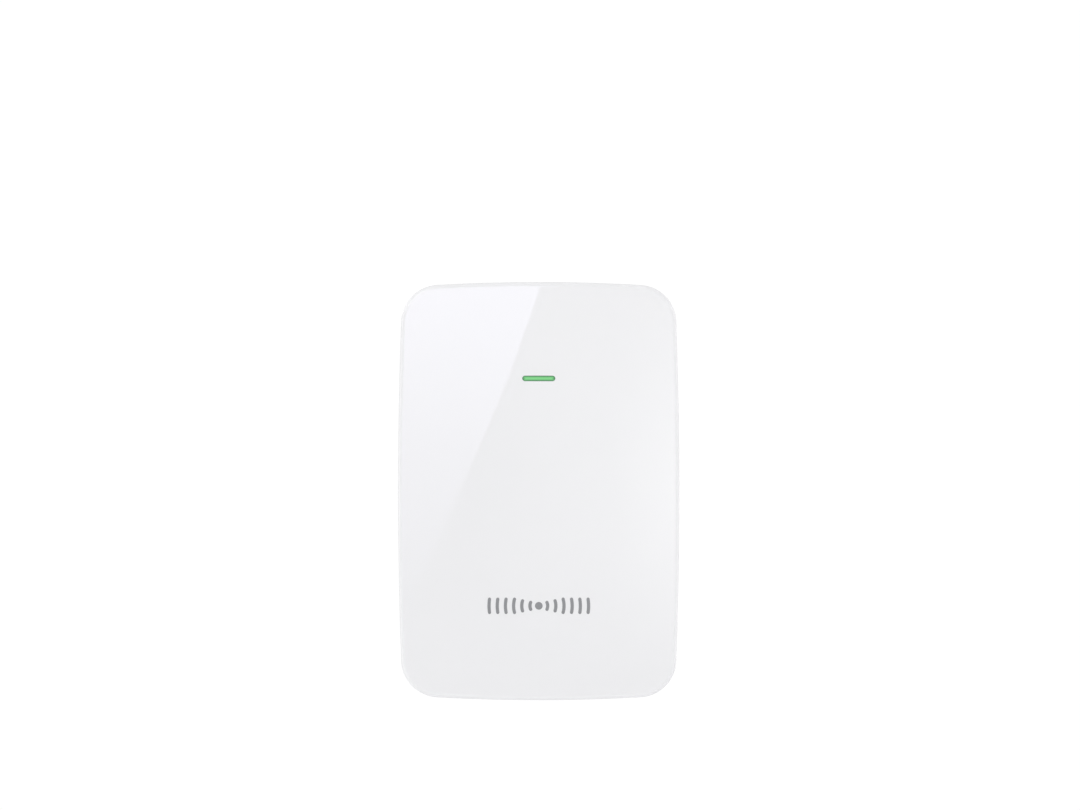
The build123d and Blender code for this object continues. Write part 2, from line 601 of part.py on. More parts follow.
with BuildPart() as transformer_winding:
    add(around_core(CORE_Z, 10.4, 8.0, 10.8).part)
    fillet(transformer_winding.edges().filter_by(Axis.Z), 1.2)
    add(
        around_core(CORE_Z, LEG_W + 0.24 + 2 * TUBE_T, 8.0, CORE_T + 0.24 + 2 * TUBE_T).part,
        mode=Mode.SUBTRACT,
    )
keep(transformer_winding, "transformer_winding")

optocoupler = slab(14.5, -20.2, 4.6, 6.5, POWER_FRONT, POWER_FRONT + 3.5, 0.3)
keep(optocoupler, "optocoupler")

y_capacitor = disc(15.5, -3.0, 3.5, 3.2, (1, 0, 0))
keep(y_capacitor, "y_capacitor")

output_rectifier = slab(15.0, -11.5, 6.6, 5.8, POWER_FRONT, POWER_FRONT + 2.4, 0.3)
keep(output_rectifier, "output_rectifier")

output_inductor = drum(20.5, 2.0, radius=2.7, height=6.2, lip=1.0)
keep(output_inductor, "output_inductor")

with BuildPart() as output_capacitors:
    for z in (-6.5, -14.5):
        add(capacitor(23.5, z, radius=3.15, height=11.0).part)
keep(output_capacitors, "output_capacitors")

with BuildPart() as dc_link_header:
    add(slab(DC_LINK_X, DC_LINK_Z, 4 * DC_LINK_PITCH, 2.5, POWER_FRONT, POWER_FRONT + 2.5).part)
    for x in DC_PINS:
        add(slab(x, DC_LINK_Z, 0.7, 0.7, POWER_FRONT, POWER_FRONT + 2.5).part, mode=Mode.SUBTRACT)
keep(dc_link_header, "dc_link_header")

with BuildPart() as dc_link_pins:
    for x in DC_PINS:
        add(slab(x, DC_LINK_Z, 0.64, 0.64, POWER_BACK - 0.8, MAIN_FRONT + 0.8).part)
keep(dc_link_pins, "dc_link_pins")

with BuildPart() as insulating_sheet:
    add(slab(0, POWER_MIDDLE_Z, POWER_X + 1, POWER_Z + 3, MAIN_BACK - SHEET_T, MAIN_BACK, 2.0).part)
    for side in (-1, 1):
        add(
            post(
                side * CASE_SCREW_X,
                CASE_SCREW_Z[0],
                COLUMN_R + COLUMN_CLEARANCE,
                MAIN_BACK - SHEET_T,
                MAIN_BACK,
            ).part,
            mode=Mode.SUBTRACT,
        )
    add(
        slab(DC_LINK_X, DC_LINK_Z, 12.0, 3.6, MAIN_BACK - SHEET_T, MAIN_BACK).part,
        mode=Mode.SUBTRACT,
    )
keep(insulating_sheet, "insulating_sheet")


# ---------------------------------------------------------------- radio board

with BuildPart() as main_board:
    extrude(case_profile(MAIN_BACK, MAIN_INSIDE), amount=MAIN_FRONT - MAIN_BACK)
    for x, z in CASE_SCREW_PLACES:
        add(post(x, z, SHANK_HOLE_R, MAIN_BACK, MAIN_FRONT).part, mode=Mode.SUBTRACT)
    for x in DC_PINS:
        add(post(x, DC_LINK_Z, 0.5, MAIN_BACK, MAIN_FRONT).part, mode=Mode.SUBTRACT)
keep(main_board, "main_board")


def chip(x, z, width, height, thickness, on_back=False):
    """A moulded chip body on the front or the back of the radio board."""
    if on_back:
        return slab(x, z, width, height, MAIN_BACK - thickness, MAIN_BACK, 0.2)
    return slab(x, z, width, height, MAIN_FRONT, MAIN_FRONT + thickness, 0.2)


CAN_LID = MAIN_BACK - CAN_H
SINK_FRONT = CAN_LID - SINK_PAD_T

processor = chip(-CHIP_X, CHIP_Z, 12.0, 12.0, 1.1, True)
keep(processor, "processor")

radio_chip = chip(CHIP_X, CHIP_Z, 8.0, 8.0, 0.9, True)
keep(radio_chip, "radio_chip")

with BuildPart() as shield_can:
    add(slab(0, CHIP_Z, CAN_W, CAN_L, CAN_LID, MAIN_BACK, 0.8).part)
    add(
        slab(
            0,
            CHIP_Z,
            CAN_W - 2 * CAN_T,
            CAN_L - 2 * CAN_T,
            CAN_LID + CAN_T,
            MAIN_BACK,
            0.6,
        ).part,
        mode=Mode.SUBTRACT,
    )
keep(shield_can, "shield_can")

with BuildPart() as chip_pads:
    add(slab(-CHIP_X, CHIP_Z, 11.0, 11.0, CAN_LID + CAN_T, MAIN_BACK - 1.1).part)
    add(slab(CHIP_X, CHIP_Z, 7.4, 7.4, CAN_LID + CAN_T, MAIN_BACK - 0.9).part)
keep(chip_pads, "chip_pads")

sink_pad = slab(0, CHIP_Z, CAN_W - 4, CAN_L - 2, SINK_FRONT, CAN_LID)
keep(sink_pad, "sink_pad")

with BuildPart() as heat_sink:
    add(slab(0, SINK_Z, SINK_W, SINK_L, SINK_FRONT - SINK_BASE_T, SINK_FRONT).part)
    for fin in range(SINK_FINS):
        x = (fin / (SINK_FINS - 1) - 0.5) * (SINK_W - SINK_FIN_T)
        fin_end = SINK_FRONT - SINK_BASE_T
        add(slab(x, SINK_Z, SINK_FIN_T, SINK_L, fin_end - SINK_FIN_H, fin_end).part)
keep(heat_sink, "heat_sink")

ethernet_magnetics = slab(-14.6, -66.2, 7.0, 12.7, MAIN_BACK - 5.5, MAIN_BACK, 0.4)
keep(ethernet_magnetics, "ethernet_magnetics")

memory_chip = chip(-8.0, -45.0, 8.0, 10.0, 1.0)
keep(memory_chip, "memory_chip")

flash_chip = chip(8.0, -47.0, 5.2, 5.2, 1.8)
keep(flash_chip, "flash_chip")

crystal = chip(0.0, -38.0, 3.2, 2.5, 0.7)
keep(crystal, "crystal")

with BuildPart() as board_inductors:
    for x in (-19.0, -13.0):
        add(chip(x, -57.0, 4.2, 4.2, 1.9).part)
keep(board_inductors, "board_inductors")

with BuildPart() as regulators:
    for x in (-16.0, -10.0, 14.0):
        add(chip(x, -63.0, 2.9, 1.6, 1.0).part)
keep(regulators, "regulators")

with BuildPart() as board_capacitors:
    for row in range(3):
        for column in range(8):
            x, z = (column - 3.5) * 2.4, -54.0 - row * 2.0
            add(slab(x + 7.0, z, 1.0, 0.5, MAIN_FRONT, MAIN_FRONT + 0.5).part)
keep(board_capacitors, "board_capacitors")


# ---------------------------------------------------------------- network socket

SOCKET_MIDDLE_Z = SOCKET_FACE_Z + SOCKET_L / 2

with BuildPart() as socket_shell:
    add(slab(0, SOCKET_MIDDLE_Z, SOCKET_W, SOCKET_L, SOCKET_BACK, MAIN_BACK).part)
    add(
        slab(
            0,
            SOCKET_MIDDLE_Z - SHELL_T,
            SOCKET_W - 2 * SHELL_T,
            SOCKET_L,
            SOCKET_BACK + SHELL_T,
            MAIN_BACK - SHELL_T,
        ).part,
        mode=Mode.SUBTRACT,
    )
keep(socket_shell, "socket_shell")

HOUSING_FACE_Z = SOCKET_FACE_Z + SHELL_T
HOUSING_L = SOCKET_L - 2 * SHELL_T
CAVITY_END_Z = HOUSING_FACE_Z + SOCKET_CAVITY_L

with BuildPart() as socket_housing:
    add(
        slab(
            0,
            HOUSING_FACE_Z + HOUSING_L / 2,
            SOCKET_W - 2 * SHELL_T,
            HOUSING_L,
            SOCKET_BACK + SHELL_T,
            MAIN_BACK - SHELL_T,
        ).part
    )
    cavity_z = HOUSING_FACE_Z + SOCKET_CAVITY_L / 2
    # the plug's body, then the two steps that its latch runs in
    add(
        slab(
            0,
            cavity_z,
            SOCKET_CAVITY_W,
            SOCKET_CAVITY_L,
            SOCKET_CAVITY_BACK,
            SOCKET_CAVITY_FRONT,
        ).part,
        mode=Mode.SUBTRACT,
    )
    latch_back = SOCKET_CAVITY_BACK - SOCKET_LATCH_H
    latch = slab(0, cavity_z, SOCKET_LATCH_W, SOCKET_CAVITY_L, latch_back, SOCKET_CAVITY_BACK)
    add(latch.part, mode=Mode.SUBTRACT)
    key = slab(0, cavity_z, SOCKET_KEY_W, SOCKET_CAVITY_L, latch_back - SOCKET_KEY_H, latch_back)
    add(key.part, mode=Mode.SUBTRACT)
keep(socket_housing, "socket_housing")

CONTACT_T, CONTACT_ARM_L = 0.25, 7.0
CONTACT_TOP, CONTACT_TIP = SOCKET_CAVITY_FRONT - 0.05, SOCKET_CAVITY_FRONT - 2.1
CONTACT_TURN_Z = HOUSING_FACE_Z + 2.4

with BuildPart() as socket_contacts:
    # each contact runs along the cavity's roof, turns back near the mouth, and slopes into the plug's way
    for contact in range(8):
        x = (contact - 3.5) * CONTACT_PITCH
        tip_z, under_z = CONTACT_TURN_Z + CONTACT_ARM_L, CONTACT_TURN_Z + 0.65
        with BuildSketch(Plane.YZ.offset(x - CONTACT_W / 2)):
            with BuildLine():
                outline = [(-CONTACT_TOP, CAVITY_END_Z), (-CONTACT_TOP, CONTACT_TURN_Z)]
                outline += [(-(CONTACT_TOP - 0.3), CONTACT_TURN_Z - 0.25), (-CONTACT_TIP, tip_z)]
                outline += [(-(CONTACT_TIP + CONTACT_T), tip_z)]
                outline += [(-(CONTACT_TOP - CONTACT_T), under_z)]
                outline += [(-(CONTACT_TOP - CONTACT_T), CAVITY_END_Z)]
                Polyline(*outline, close=True)
            make_face()
        extrude(amount=CONTACT_W)
keep(socket_contacts, "socket_contacts")


# ---------------------------------------------------------------- side controls


def switch_body(z):
    """A right-angle push switch hanging from the back of the radio board, with its plunger's bore."""
    start = SWITCH_FACE_X - SWITCH_T
    middle = (CONTROL_DEPTH - SWITCH_SIDE / 2 + MAIN_BACK) / 2
    with BuildPart() as piece:
        across = MAIN_BACK - CONTROL_DEPTH + SWITCH_SIDE / 2
        add(side_block(start, SWITCH_FACE_X, middle, z, across, SWITCH_SIDE).part)
        chamfer(piece.faces().sort_by(Axis.X)[-1].edges(), 0.25)
        add(
            side_post(start + 1.5, SWITCH_FACE_X, CONTROL_DEPTH, z, PLUNGER_BORE_R).part,
            mode=Mode.SUBTRACT,
        )
    return piece


def switch_plunger(z, end_x):
    """The switch's round plunger, standing in its bore and out to end_x."""
    return side_post(SWITCH_FACE_X - SWITCH_T + 2.1, end_x, CONTROL_DEPTH, z, PLUNGER_R)


pairing_switch = switch_body(BUTTON_Z)
keep(pairing_switch, "pairing_switch")
pairing_plunger = switch_plunger(BUTTON_Z, PLUNGER_REST_X)
keep(pairing_plunger, "pairing_plunger")
reset_switch = switch_body(RESET_Z)
keep(reset_switch, "reset_switch")
reset_plunger = switch_plunger(RESET_Z, PLUNGER_REST_X)
keep(reset_plunger, "reset_plunger")

with BuildPart() as pairing_button:
    flange_end = BUTTON_FLANGE_X + BUTTON_FLANGE_T
    add(
        side_block(
            flange_end,
            BUTTON_FACE_X,
            CONTROL_DEPTH,
            BUTTON_Z,
            BUTTON_H,
            BUTTON_L,
            BUTTON_H / 2 - 0.01,
        ).part
    )
    fillet(pairing_button.faces().sort_by(Axis.X)[-1].edges(), 0.5)
    add(
        side_block(
            BUTTON_FLANGE_X,
            flange_end,
            CONTROL_DEPTH,
            BUTTON_Z,
            BUTTON_FLANGE_W,
            BUTTON_FLANGE_L,
            0.8,
        ).part
    )
    nub = side_post(PLUNGER_REST_X, BUTTON_FLANGE_X, CONTROL_DEPTH, BUTTON_Z, BUTTON_NUB_R)
    add(nub.part)
keep(pairing_button, "pairing_button")


# ---------------------------------------------------------------- antennas


def antenna(side):
    """A strip of circuit board on edge beside the wall."""
    x = ANTENNA_X if side > 0 else -(ANTENNA_X + ANTENNA_T)
    middle_z = (ANTENNA_LOW_Z + ANTENNA_HIGH_Z) / 2
    middle = (ANTENNA_BACK + ANTENNA_FRONT) / 2
    across, length = ANTENNA_FRONT - ANTENNA_BACK, ANTENNA_HIGH_Z - ANTENNA_LOW_Z
    return side_block(x, x + ANTENNA_T, middle, middle_z, across, length, 0.5)


left_antenna = antenna(-1)
keep(left_antenna, "left_antenna")
right_antenna = antenna(1)
keep(right_antenna, "right_antenna")


def coax_path(side):
    """The middle line of an antenna's cable, from the strip's lower end to its plug."""
    x = side * (ANTENNA_X - COAX_R - 0.02)
    points = [(x, COAX_START_Z), (x, COAX_PLUG_Z), (side * (COAX_PLUG_X + 2.8), COAX_PLUG_Z)]
    with BuildLine(Plane.XZ.offset(COAX_DEPTH)) as path:
        FilletPolyline(*points, radius=COAX_BEND_R)
    return path


with BuildPart() as antenna_cables:
    for side in (-1, 1):
        start = (side * (ANTENNA_X - COAX_R - 0.02), -COAX_DEPTH, COAX_START_Z)
        with BuildSketch(Plane(origin=start, z_dir=(0, 0, -1))):
            Circle(COAX_R)
        sweep(path=coax_path(side).line)
keep(antenna_cables, "antenna_cables")

with BuildPart() as coax_plugs:
    for side in (-1, 1):
        x = side * COAX_PLUG_X
        add(post(x, COAX_PLUG_Z, 1.5, MAIN_FRONT, MAIN_FRONT + 1.7).part)
        add(slab(x + side * 1.9, COAX_PLUG_Z, 1.8, 1.7, MAIN_FRONT + 0.1, MAIN_FRONT + 1.7).part)
keep(coax_plugs, "coax_plugs")
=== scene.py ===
import json
import math

import bpy
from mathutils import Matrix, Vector


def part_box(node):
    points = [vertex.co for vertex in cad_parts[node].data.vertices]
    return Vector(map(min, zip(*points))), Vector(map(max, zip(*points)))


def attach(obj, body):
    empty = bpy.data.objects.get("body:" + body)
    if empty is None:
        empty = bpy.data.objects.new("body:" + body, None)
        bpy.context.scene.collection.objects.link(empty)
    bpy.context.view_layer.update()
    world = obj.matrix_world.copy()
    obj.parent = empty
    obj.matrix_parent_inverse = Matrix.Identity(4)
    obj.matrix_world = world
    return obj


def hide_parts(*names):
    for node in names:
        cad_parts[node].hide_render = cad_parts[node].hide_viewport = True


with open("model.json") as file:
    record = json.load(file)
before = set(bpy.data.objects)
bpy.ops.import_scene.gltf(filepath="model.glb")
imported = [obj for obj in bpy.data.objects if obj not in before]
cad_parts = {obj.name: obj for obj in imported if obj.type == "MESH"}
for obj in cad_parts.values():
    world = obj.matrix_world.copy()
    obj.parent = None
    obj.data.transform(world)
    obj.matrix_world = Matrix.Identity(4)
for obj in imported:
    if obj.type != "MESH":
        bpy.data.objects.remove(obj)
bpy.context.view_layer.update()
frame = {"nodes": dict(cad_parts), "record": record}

# A plug-in wireless range extender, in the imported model's own frame: the wall is the plane Y = 0, the room
# is towards -Y, +Z is up, and the origin lies midway between the two mains blades. Metres.

MM = 0.001

# ---------------------------------------------------------------- sizes read from the frame, and the rest

COVER_LOW, COVER_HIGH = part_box("front_cover")
LIGHT_LOW, LIGHT_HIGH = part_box("status_light_pipe")
LABEL_LOW, LABEL_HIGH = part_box("rating_label")
ANTENNA_LOW, ANTENNA_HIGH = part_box("right_antenna")
GASKET_LOW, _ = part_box("light_gasket")
_, SCREW_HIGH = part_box("case_screws")

HALF_W, HALF_H = 35.0 * MM, 52.0 * MM  # where the flat outline would be widest, just outside the rounded rim
MIDDLE_Z = (COVER_LOW.z + COVER_HIGH.z) / 2
FRONT_TOP_Y = -30.0 * MM
SEAM_Y = COVER_HIGH.y
CORNER_R = 9.5 * MM
SIDE_BOW_R, END_BOW_R = 1200.0 * MM, 450.0 * MM
CROWN_R = 1500.0 * MM
RIM_R = 1.0 * MM
DRAFT = math.tan(math.radians(2.0))
WALL = 2.0 * MM
SEAM_CHAMFER = 0.25 * MM
REBATE_INSET, REBATE_H = 1.0 * MM, 2.0 * MM

LIGHT_Z = (LIGHT_LOW.z + LIGHT_HIGH.z) / 2
SLOT_W, SLOT_H, SLOT_EDGE_R = 8.2 * MM, 1.35 * MM, 0.08 * MM

CASE_SCREW_X, CASE_SCREW_Z = 25.0 * MM, (12.0 * MM, -72.0 * MM)
BOSS_R, BOSS_BORE_R, BOARD_FRONT_Y = 3.3 * MM, 1.53 * MM, -21.6 * MM
COLLAR_W, COLLAR_H, COLLAR_T, COLLAR_OVERLAP = 15.0 * MM, 8.0 * MM, 1.35 * MM, 1.05 * MM
RIB_T, RIB_W, RIB_GAP, RIB_INSIDE, RIB_START_Y = 1.2 * MM, 3.0 * MM, 0.2 * MM, 6.0 * MM, -23.0 * MM
ROOT_DEPTH = 0.2 * MM  # how far the bosses, collar and ribs sink into the front wall

MARK_Z, MARK_H = -58.45 * MM, 4.1 * MM
INK_LIFT, INK_T = 0.004 * MM, 0.03 * MM

# how finely curves are drawn: the outline's arcs in one quarter, the cover's rim, wall and slot edge,
# and then the bosses and the ink
SIDE_STEPS, CORNER_STEPS, END_STEPS = 32, 22, 22
RIM_STEPS, WALL_STEPS, SLOT_EDGE_STEPS = 10, 5, 4
BOSS_STEPS, DOT_STEPS, ARC_STEPS, CAP_STEPS, INK_CORNER_STEPS = 48, 32, 20, 8, 8
SMOOTH_ANGLE, COVER_SMOOTH_ANGLE = 30.0, 35.0

# where rings lie: on the front face from the slot out to the rim, closer together near both, and inside it
# from the wall back to the slot
FACE_SHARES = (
    *(0.0, 0.004, 0.012, 0.03, 0.06, 0.10, 0.16, 0.23, 0.31, 0.40),
    *(0.50, 0.60, 0.70, 0.79, 0.87, 0.93, 0.97, 0.99, 0.997),
)
INNER_SHARES = (0.2, 0.4, 0.6, 0.8, 0.95)


# ---------------------------------------------------------------- mesh helpers


def new_object(name, points, faces, smooth_angle=SMOOTH_ANGLE):
    """Makes a mesh object from points and faces, with normals outwards and smooth shading up to an angle."""
    mesh = bpy.data.meshes.new(name)
    mesh.from_pydata(points, [], faces)
    mesh.update()
    piece = bpy.data.objects.new(name, mesh)
    bpy.context.collection.objects.link(piece)
    bpy.context.view_layer.objects.active = piece
    for other in bpy.context.selected_objects:
        other.select_set(False)
    piece.select_set(True)
    bpy.ops.object.mode_set(mode="EDIT")
    bpy.ops.mesh.select_all(action="SELECT")
    bpy.ops.mesh.normals_make_consistent(inside=False)
    bpy.ops.object.mode_set(mode="OBJECT")
    mesh.shade_smooth()
    mesh.set_sharp_from_angle(angle=math.radians(smooth_angle))
    return piece


def flat_sheet(name, corners):
    """Makes a mesh object of one four-cornered face."""
    mesh = bpy.data.meshes.new(name)
    mesh.from_pydata(corners, [], [(0, 1, 2, 3)])
    sheet = bpy.data.objects.new(name, mesh)
    bpy.context.collection.objects.link(sheet)
    return sheet


def join_rings(rings, closed=False):
    """Points and quads of a surface through rings of equal count; closed joins the last to the first."""
    count = len(rings[0])
    points = [point for ring in rings for point in ring]
    faces = []
    last = len(rings) if closed else len(rings) - 1
    for ring in range(last):
        here, there = ring * count, (ring + 1) % len(rings) * count
        for i in range(count):
            j = (i + 1) % count
            faces.append((here + i, here + j, there + j, there + i))
    return points, faces


def merge_shapes(shapes):
    """One list of points and one of faces from several."""
    points, faces = [], []
    for shape_points, shape_faces in shapes:
        start = len(points)
        points += shape_points
        faces += [tuple(start + i for i in face) for face in shape_faces]
    return points, faces


# ---------------------------------------------------------------- front cover


def outline():
    """The case's widest outline: points round it and the outward direction at each, as (x, z) pairs.

    It is drawn as eight arcs, and an offset outline only changes their radii, so each point moves straight in
    along its own direction.
    """
    end_x, end_z = 0.0, HALF_H - END_BOW_R
    side_x, side_z = HALF_W - SIDE_BOW_R, 0.0
    # the corner's arc touches both bows from inside, so its centre is a known distance from each of theirs
    gap = math.hypot(side_x - end_x, side_z - end_z)
    end_reach, side_reach = END_BOW_R - CORNER_R, SIDE_BOW_R - CORNER_R
    along = (end_reach**2 - side_reach**2 + gap**2) / (2 * gap)
    across = math.sqrt(end_reach**2 - along**2)
    unit_x, unit_z = (side_x - end_x) / gap, (side_z - end_z) / gap
    corner_x = end_x + unit_x * along + unit_z * across
    corner_z = end_z + unit_z * along - unit_x * across
    side_angle = math.atan2(corner_z - side_z, corner_x - side_x)
    end_angle = math.atan2(corner_z - end_z, corner_x - end_x)
    arcs = (
        (side_x, side_z, SIDE_BOW_R, 0.0, side_angle, SIDE_STEPS),
        (corner_x, corner_z, CORNER_R, side_angle, end_angle, CORNER_STEPS),
        (end_x, end_z, END_BOW_R, end_angle, math.pi / 2, END_STEPS),
    )
    first = []
    for x, z, radius, start, stop, steps in arcs:
        for i in range(steps):
            angle = start + (stop - start) * i / steps
            nx, nz = math.cos(angle), math.sin(angle)
            first.append((x + radius * nx, z + radius * nz, nx, nz))
    top = (0.0, HALF_H, 0.0, 1.0)
    second = [(-x, z, -nx, nz) for x, z, nx, nz in reversed(first[1:])]
    left = (-HALF_W, 0.0, -1.0, 0.0)
    upper = first + [top] + second
    lower = [(-x, -z, -nx, -nz) for x, z, nx, nz in upper]
    points = upper + [left] + lower[1:]
    return [(x, z + MIDDLE_Z) for x, z, _, _ in points], [(nx, nz) for _, _, nx, nz in points]


OUTLINE, OUTWARD = outline()
SLOT_SHARES = [(math.atan2(z - LIGHT_Z, x) / (2 * math.pi)) % 1.0 for x, z in OUTLINE]


def crown_y(x, z, sink=0.0):
    """The front face's Y at a place on it, or that of the surface sunk below it."""
    radius = CROWN_R - sink
    return FRONT_TOP_Y + CROWN_R - math.sqrt(radius**2 - x**2 - (z - MIDDLE_Z) ** 2)


def side_inset(y):
    """How far the side wall lies inside the widest outline at a Y."""
    return (y - FRONT_TOP_Y) * DRAFT


def stadium(share, radius_more):
    """A point of the light slot's outline, at a share of the way round, starting at its right-hand end."""
    radius = SLOT_H / 2
    straight = SLOT_W - SLOT_H
    quarter_arc = math.pi * radius / 2
    total = 4 * quarter_arc + 2 * straight
    way = share % 1.0 * total
    grown = radius + radius_more
    half = straight / 2
    if way < quarter_arc:
        angle = way / radius
        return half + grown * math.cos(angle), LIGHT_Z + grown * math.sin(angle)
    way -= quarter_arc
    if way < straight:
        return half - way, LIGHT_Z + grown
    way -= straight
    if way < 2 * quarter_arc:
        angle = math.pi / 2 + way / radius
        return -half + grown * math.cos(angle), LIGHT_Z + grown * math.sin(angle)
    way -= 2 * quarter_arc
    if way < straight:
        return -half + way, LIGHT_Z - grown
    way -= straight
    angle = 1.5 * math.pi + way / radius
    return half + grown * math.cos(angle), LIGHT_Z + grown * math.sin(angle)


def outline_ring(inset, y):
    """The outline drawn inside itself, at a constant Y or, given a function, at that function's Y."""
    ring = []
    for (x, z), (nx, nz) in zip(OUTLINE, OUTWARD):
        px, pz = x - nx * inset, z - nz * inset
        ring.append((px, y(px, pz) if callable(y) else y, pz))
    return ring


def slot_ring(radius_more, sink):
    """The light slot's outline on the crowned face, or below it."""
    ring = []
    for share in SLOT_SHARES:
        x, z = stadium(share, radius_more)
        ring.append((x, crown_y(x, z) + sink, z))
    return ring


def blend_rings(inner, outer, share, sink=0.0):
    """A ring on the crown part of the way from one ring to another."""
    ring = []
    for (xa, _, za), (xb, _, zb) in zip(inner, outer):
        x, z = xa + (xb - xa) * share, za + (zb - za) * share
        ring.append((x, crown_y(x, z, sink), z))
    return ring


def rim_rings():
    """The rounded rim, from the crowned face round to the side wall, as rings."""
    rings = []
    for step in range(RIM_STEPS + 1):
        ring = []
        for (x, z), (nx, nz) in zip(OUTLINE, OUTWARD):
            px, pz = x - nx * RIM_R, z - nz * RIM_R
            slope = math.asin((nx * px + nz * (pz - MIDDLE_Z)) / CROWN_R)
            centre_y = crown_y(px, pz) + RIM_R / math.cos(slope)
            angle = slope + (math.pi / 2 + math.atan(DRAFT) - slope) * step / RIM_STEPS
            inset = side_inset(centre_y) + RIM_R - RIM_R * math.sin(angle)
            y = centre_y - RIM_R * math.cos(angle)
            ring.append((x - nx * inset, y, z - nz * inset))
        rings.append(ring)
    return rings


def cover_shell():
    """The cover's wall as one closed ring of rings, from the light slot round the rim and back inside."""
    slot_edge = slot_ring(SLOT_EDGE_R, 0.0)
    rim = rim_rings()
    rings = [blend_rings(slot_edge, rim[0], share) for share in FACE_SHARES]
    rings += rim
    # the side wall, in steps so that its long quads stay flat
    side_top_y = max(point[1] for point in rim[-1])
    side_end_y = SEAM_Y - SEAM_CHAMFER
    for step in range(1, WALL_STEPS + 1):
        y = side_top_y + (side_end_y - side_top_y) * step / WALL_STEPS
        rings.append(outline_ring(side_inset(y), y))
    # the chamfered edge at the seam, the seam face, the rebate and the inner wall
    seam_inset = side_inset(SEAM_Y)
    rebate_y = SEAM_Y - REBATE_H
    rings.append(outline_ring(seam_inset + SEAM_CHAMFER, SEAM_Y))
    rings.append(outline_ring(seam_inset + REBATE_INSET, SEAM_Y))
    rings.append(outline_ring(seam_inset + REBATE_INSET, rebate_y))
    rings.append(outline_ring(side_inset(rebate_y) + WALL, rebate_y))
    inner_edge = outline_ring(WALL + side_inset(FRONT_TOP_Y + WALL), lambda x, z: crown_y(x, z, WALL))
    rings.append(inner_edge)
    # back across the inner face to the slot, and up through it to its rounded edge
    slot_inner = [(x, crown_y(x, z, WALL), z) for x, _, z in slot_ring(0.0, 0.0)]
    rings += [blend_rings(inner_edge, slot_inner, share, WALL) for share in INNER_SHARES]
    rings.append(slot_inner)
    for step in range(SLOT_EDGE_STEPS):
        angle = math.pi / 2 * step / SLOT_EDGE_STEPS
        out, sink = SLOT_EDGE_R * (1 - math.cos(angle)), SLOT_EDGE_R * (1 - math.sin(angle))
        rings.append(slot_ring(out, sink))
    return join_rings(rings, closed=True)


def tube(x, z, outer, inner, start_y, end_y):
    """A hollow round post along Y."""
    turns = [2 * math.pi * i / BOSS_STEPS for i in range(BOSS_STEPS)]
    rings = []
    for radius, y in ((outer, start_y), (outer, end_y), (inner, end_y), (inner, start_y)):
        rings.append([(x + radius * math.cos(turn), y, z + radius * math.sin(turn)) for turn in turns])
    return join_rings(rings, closed=True)


def box_rings(x, z, width, height, start_y, end_y):
    """The four corners of a rectangle along Y, at its start and at its end, as two rings."""
    half_w, half_h = width / 2, height / 2
    corners = [(half_w, half_h), (-half_w, half_h), (-half_w, -half_h), (half_w, -half_h)]
    return [[(x + dx, y, z + dz) for dx, dz in corners] for y in (start_y, end_y)]


def frame_block(x, z, width, height, wall, start_y, end_y):
    """A rectangular collar along Y."""
    outer = box_rings(x, z, width, height, start_y, end_y)
    inner = box_rings(x, z, width - 2 * wall, height - 2 * wall, end_y, start_y)
    return join_rings(outer + inner, closed=True)


def solid_block(x, z, width, height, start_y, end_y):
    """A closed block along Y."""
    points, faces = join_rings(box_rings(x, z, width, height, start_y, end_y))
    return points, faces + [(0, 1, 2, 3), (7, 6, 5, 4)]


def make_front_cover():
    """The front cover: its shell, the collar round the light, the antenna ribs and the screw bosses."""
    ceiling_y = FRONT_TOP_Y + WALL - ROOT_DEPTH
    collar_y = GASKET_LOW.y + COLLAR_OVERLAP
    shapes = [cover_shell()]
    shapes.append(frame_block(0.0, LIGHT_Z, COLLAR_W, COLLAR_H, COLLAR_T, collar_y, ceiling_y))
    for side in (-1, 1):
        rib_x = side * (ANTENNA_LOW.x - RIB_GAP - RIB_T / 2)
        for z in (ANTENNA_LOW.z + RIB_INSIDE, ANTENNA_HIGH.z - RIB_INSIDE):
            shapes.append(solid_block(rib_x, z, RIB_T, RIB_W, RIB_START_Y, ceiling_y))
    for side in (-1, 1):
        for z in CASE_SCREW_Z:
            root_y = crown_y(side * CASE_SCREW_X, z, WALL) - ROOT_DEPTH
            shapes.append(tube(side * CASE_SCREW_X, z, BOSS_R, BOSS_BORE_R, BOARD_FRONT_Y, root_y))
    points, faces = merge_shapes(shapes)
    cover = new_object("front_shell", points, faces, COVER_SMOOTH_ANGLE)
    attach(cover, "unit")
    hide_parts("front_cover")
    return cover


# ---------------------------------------------------------------- printing


def on_crown(x, z):
    """The Y of the bottom and of the top of ink on the front face."""
    y = crown_y(x, z) - INK_LIFT
    return y, y - INK_T


def on_label(x, z):
    """The Y of the bottom and of the top of ink on the label."""
    y = LABEL_HIGH.y + INK_LIFT
    return y, y + INK_T


def ink_patch(edge, surface):
    """A thin closed patch of ink with the given (x, z) edge."""
    count = len(edge)
    top = [(x, surface(x, z)[1], z) for x, z in edge]
    bottom = [(x, surface(x, z)[0], z) for x, z in edge]
    faces = [tuple(range(count)), tuple(reversed(range(count, 2 * count)))]
    for i in range(count):
        j = (i + 1) % count
        faces.append((i, j, count + j, count + i))
    return top + bottom, faces


def ink_bar(x, z, width, height, surface):
    """An upright rectangle of ink, centred on a place."""
    half_w, half_h = width / 2, height / 2
    edge = [(x + half_w, z + half_h), (x - half_w, z + half_h)]
    edge += [(x - half_w, z - half_h), (x + half_w, z - half_h)]
    return ink_patch(edge, surface)


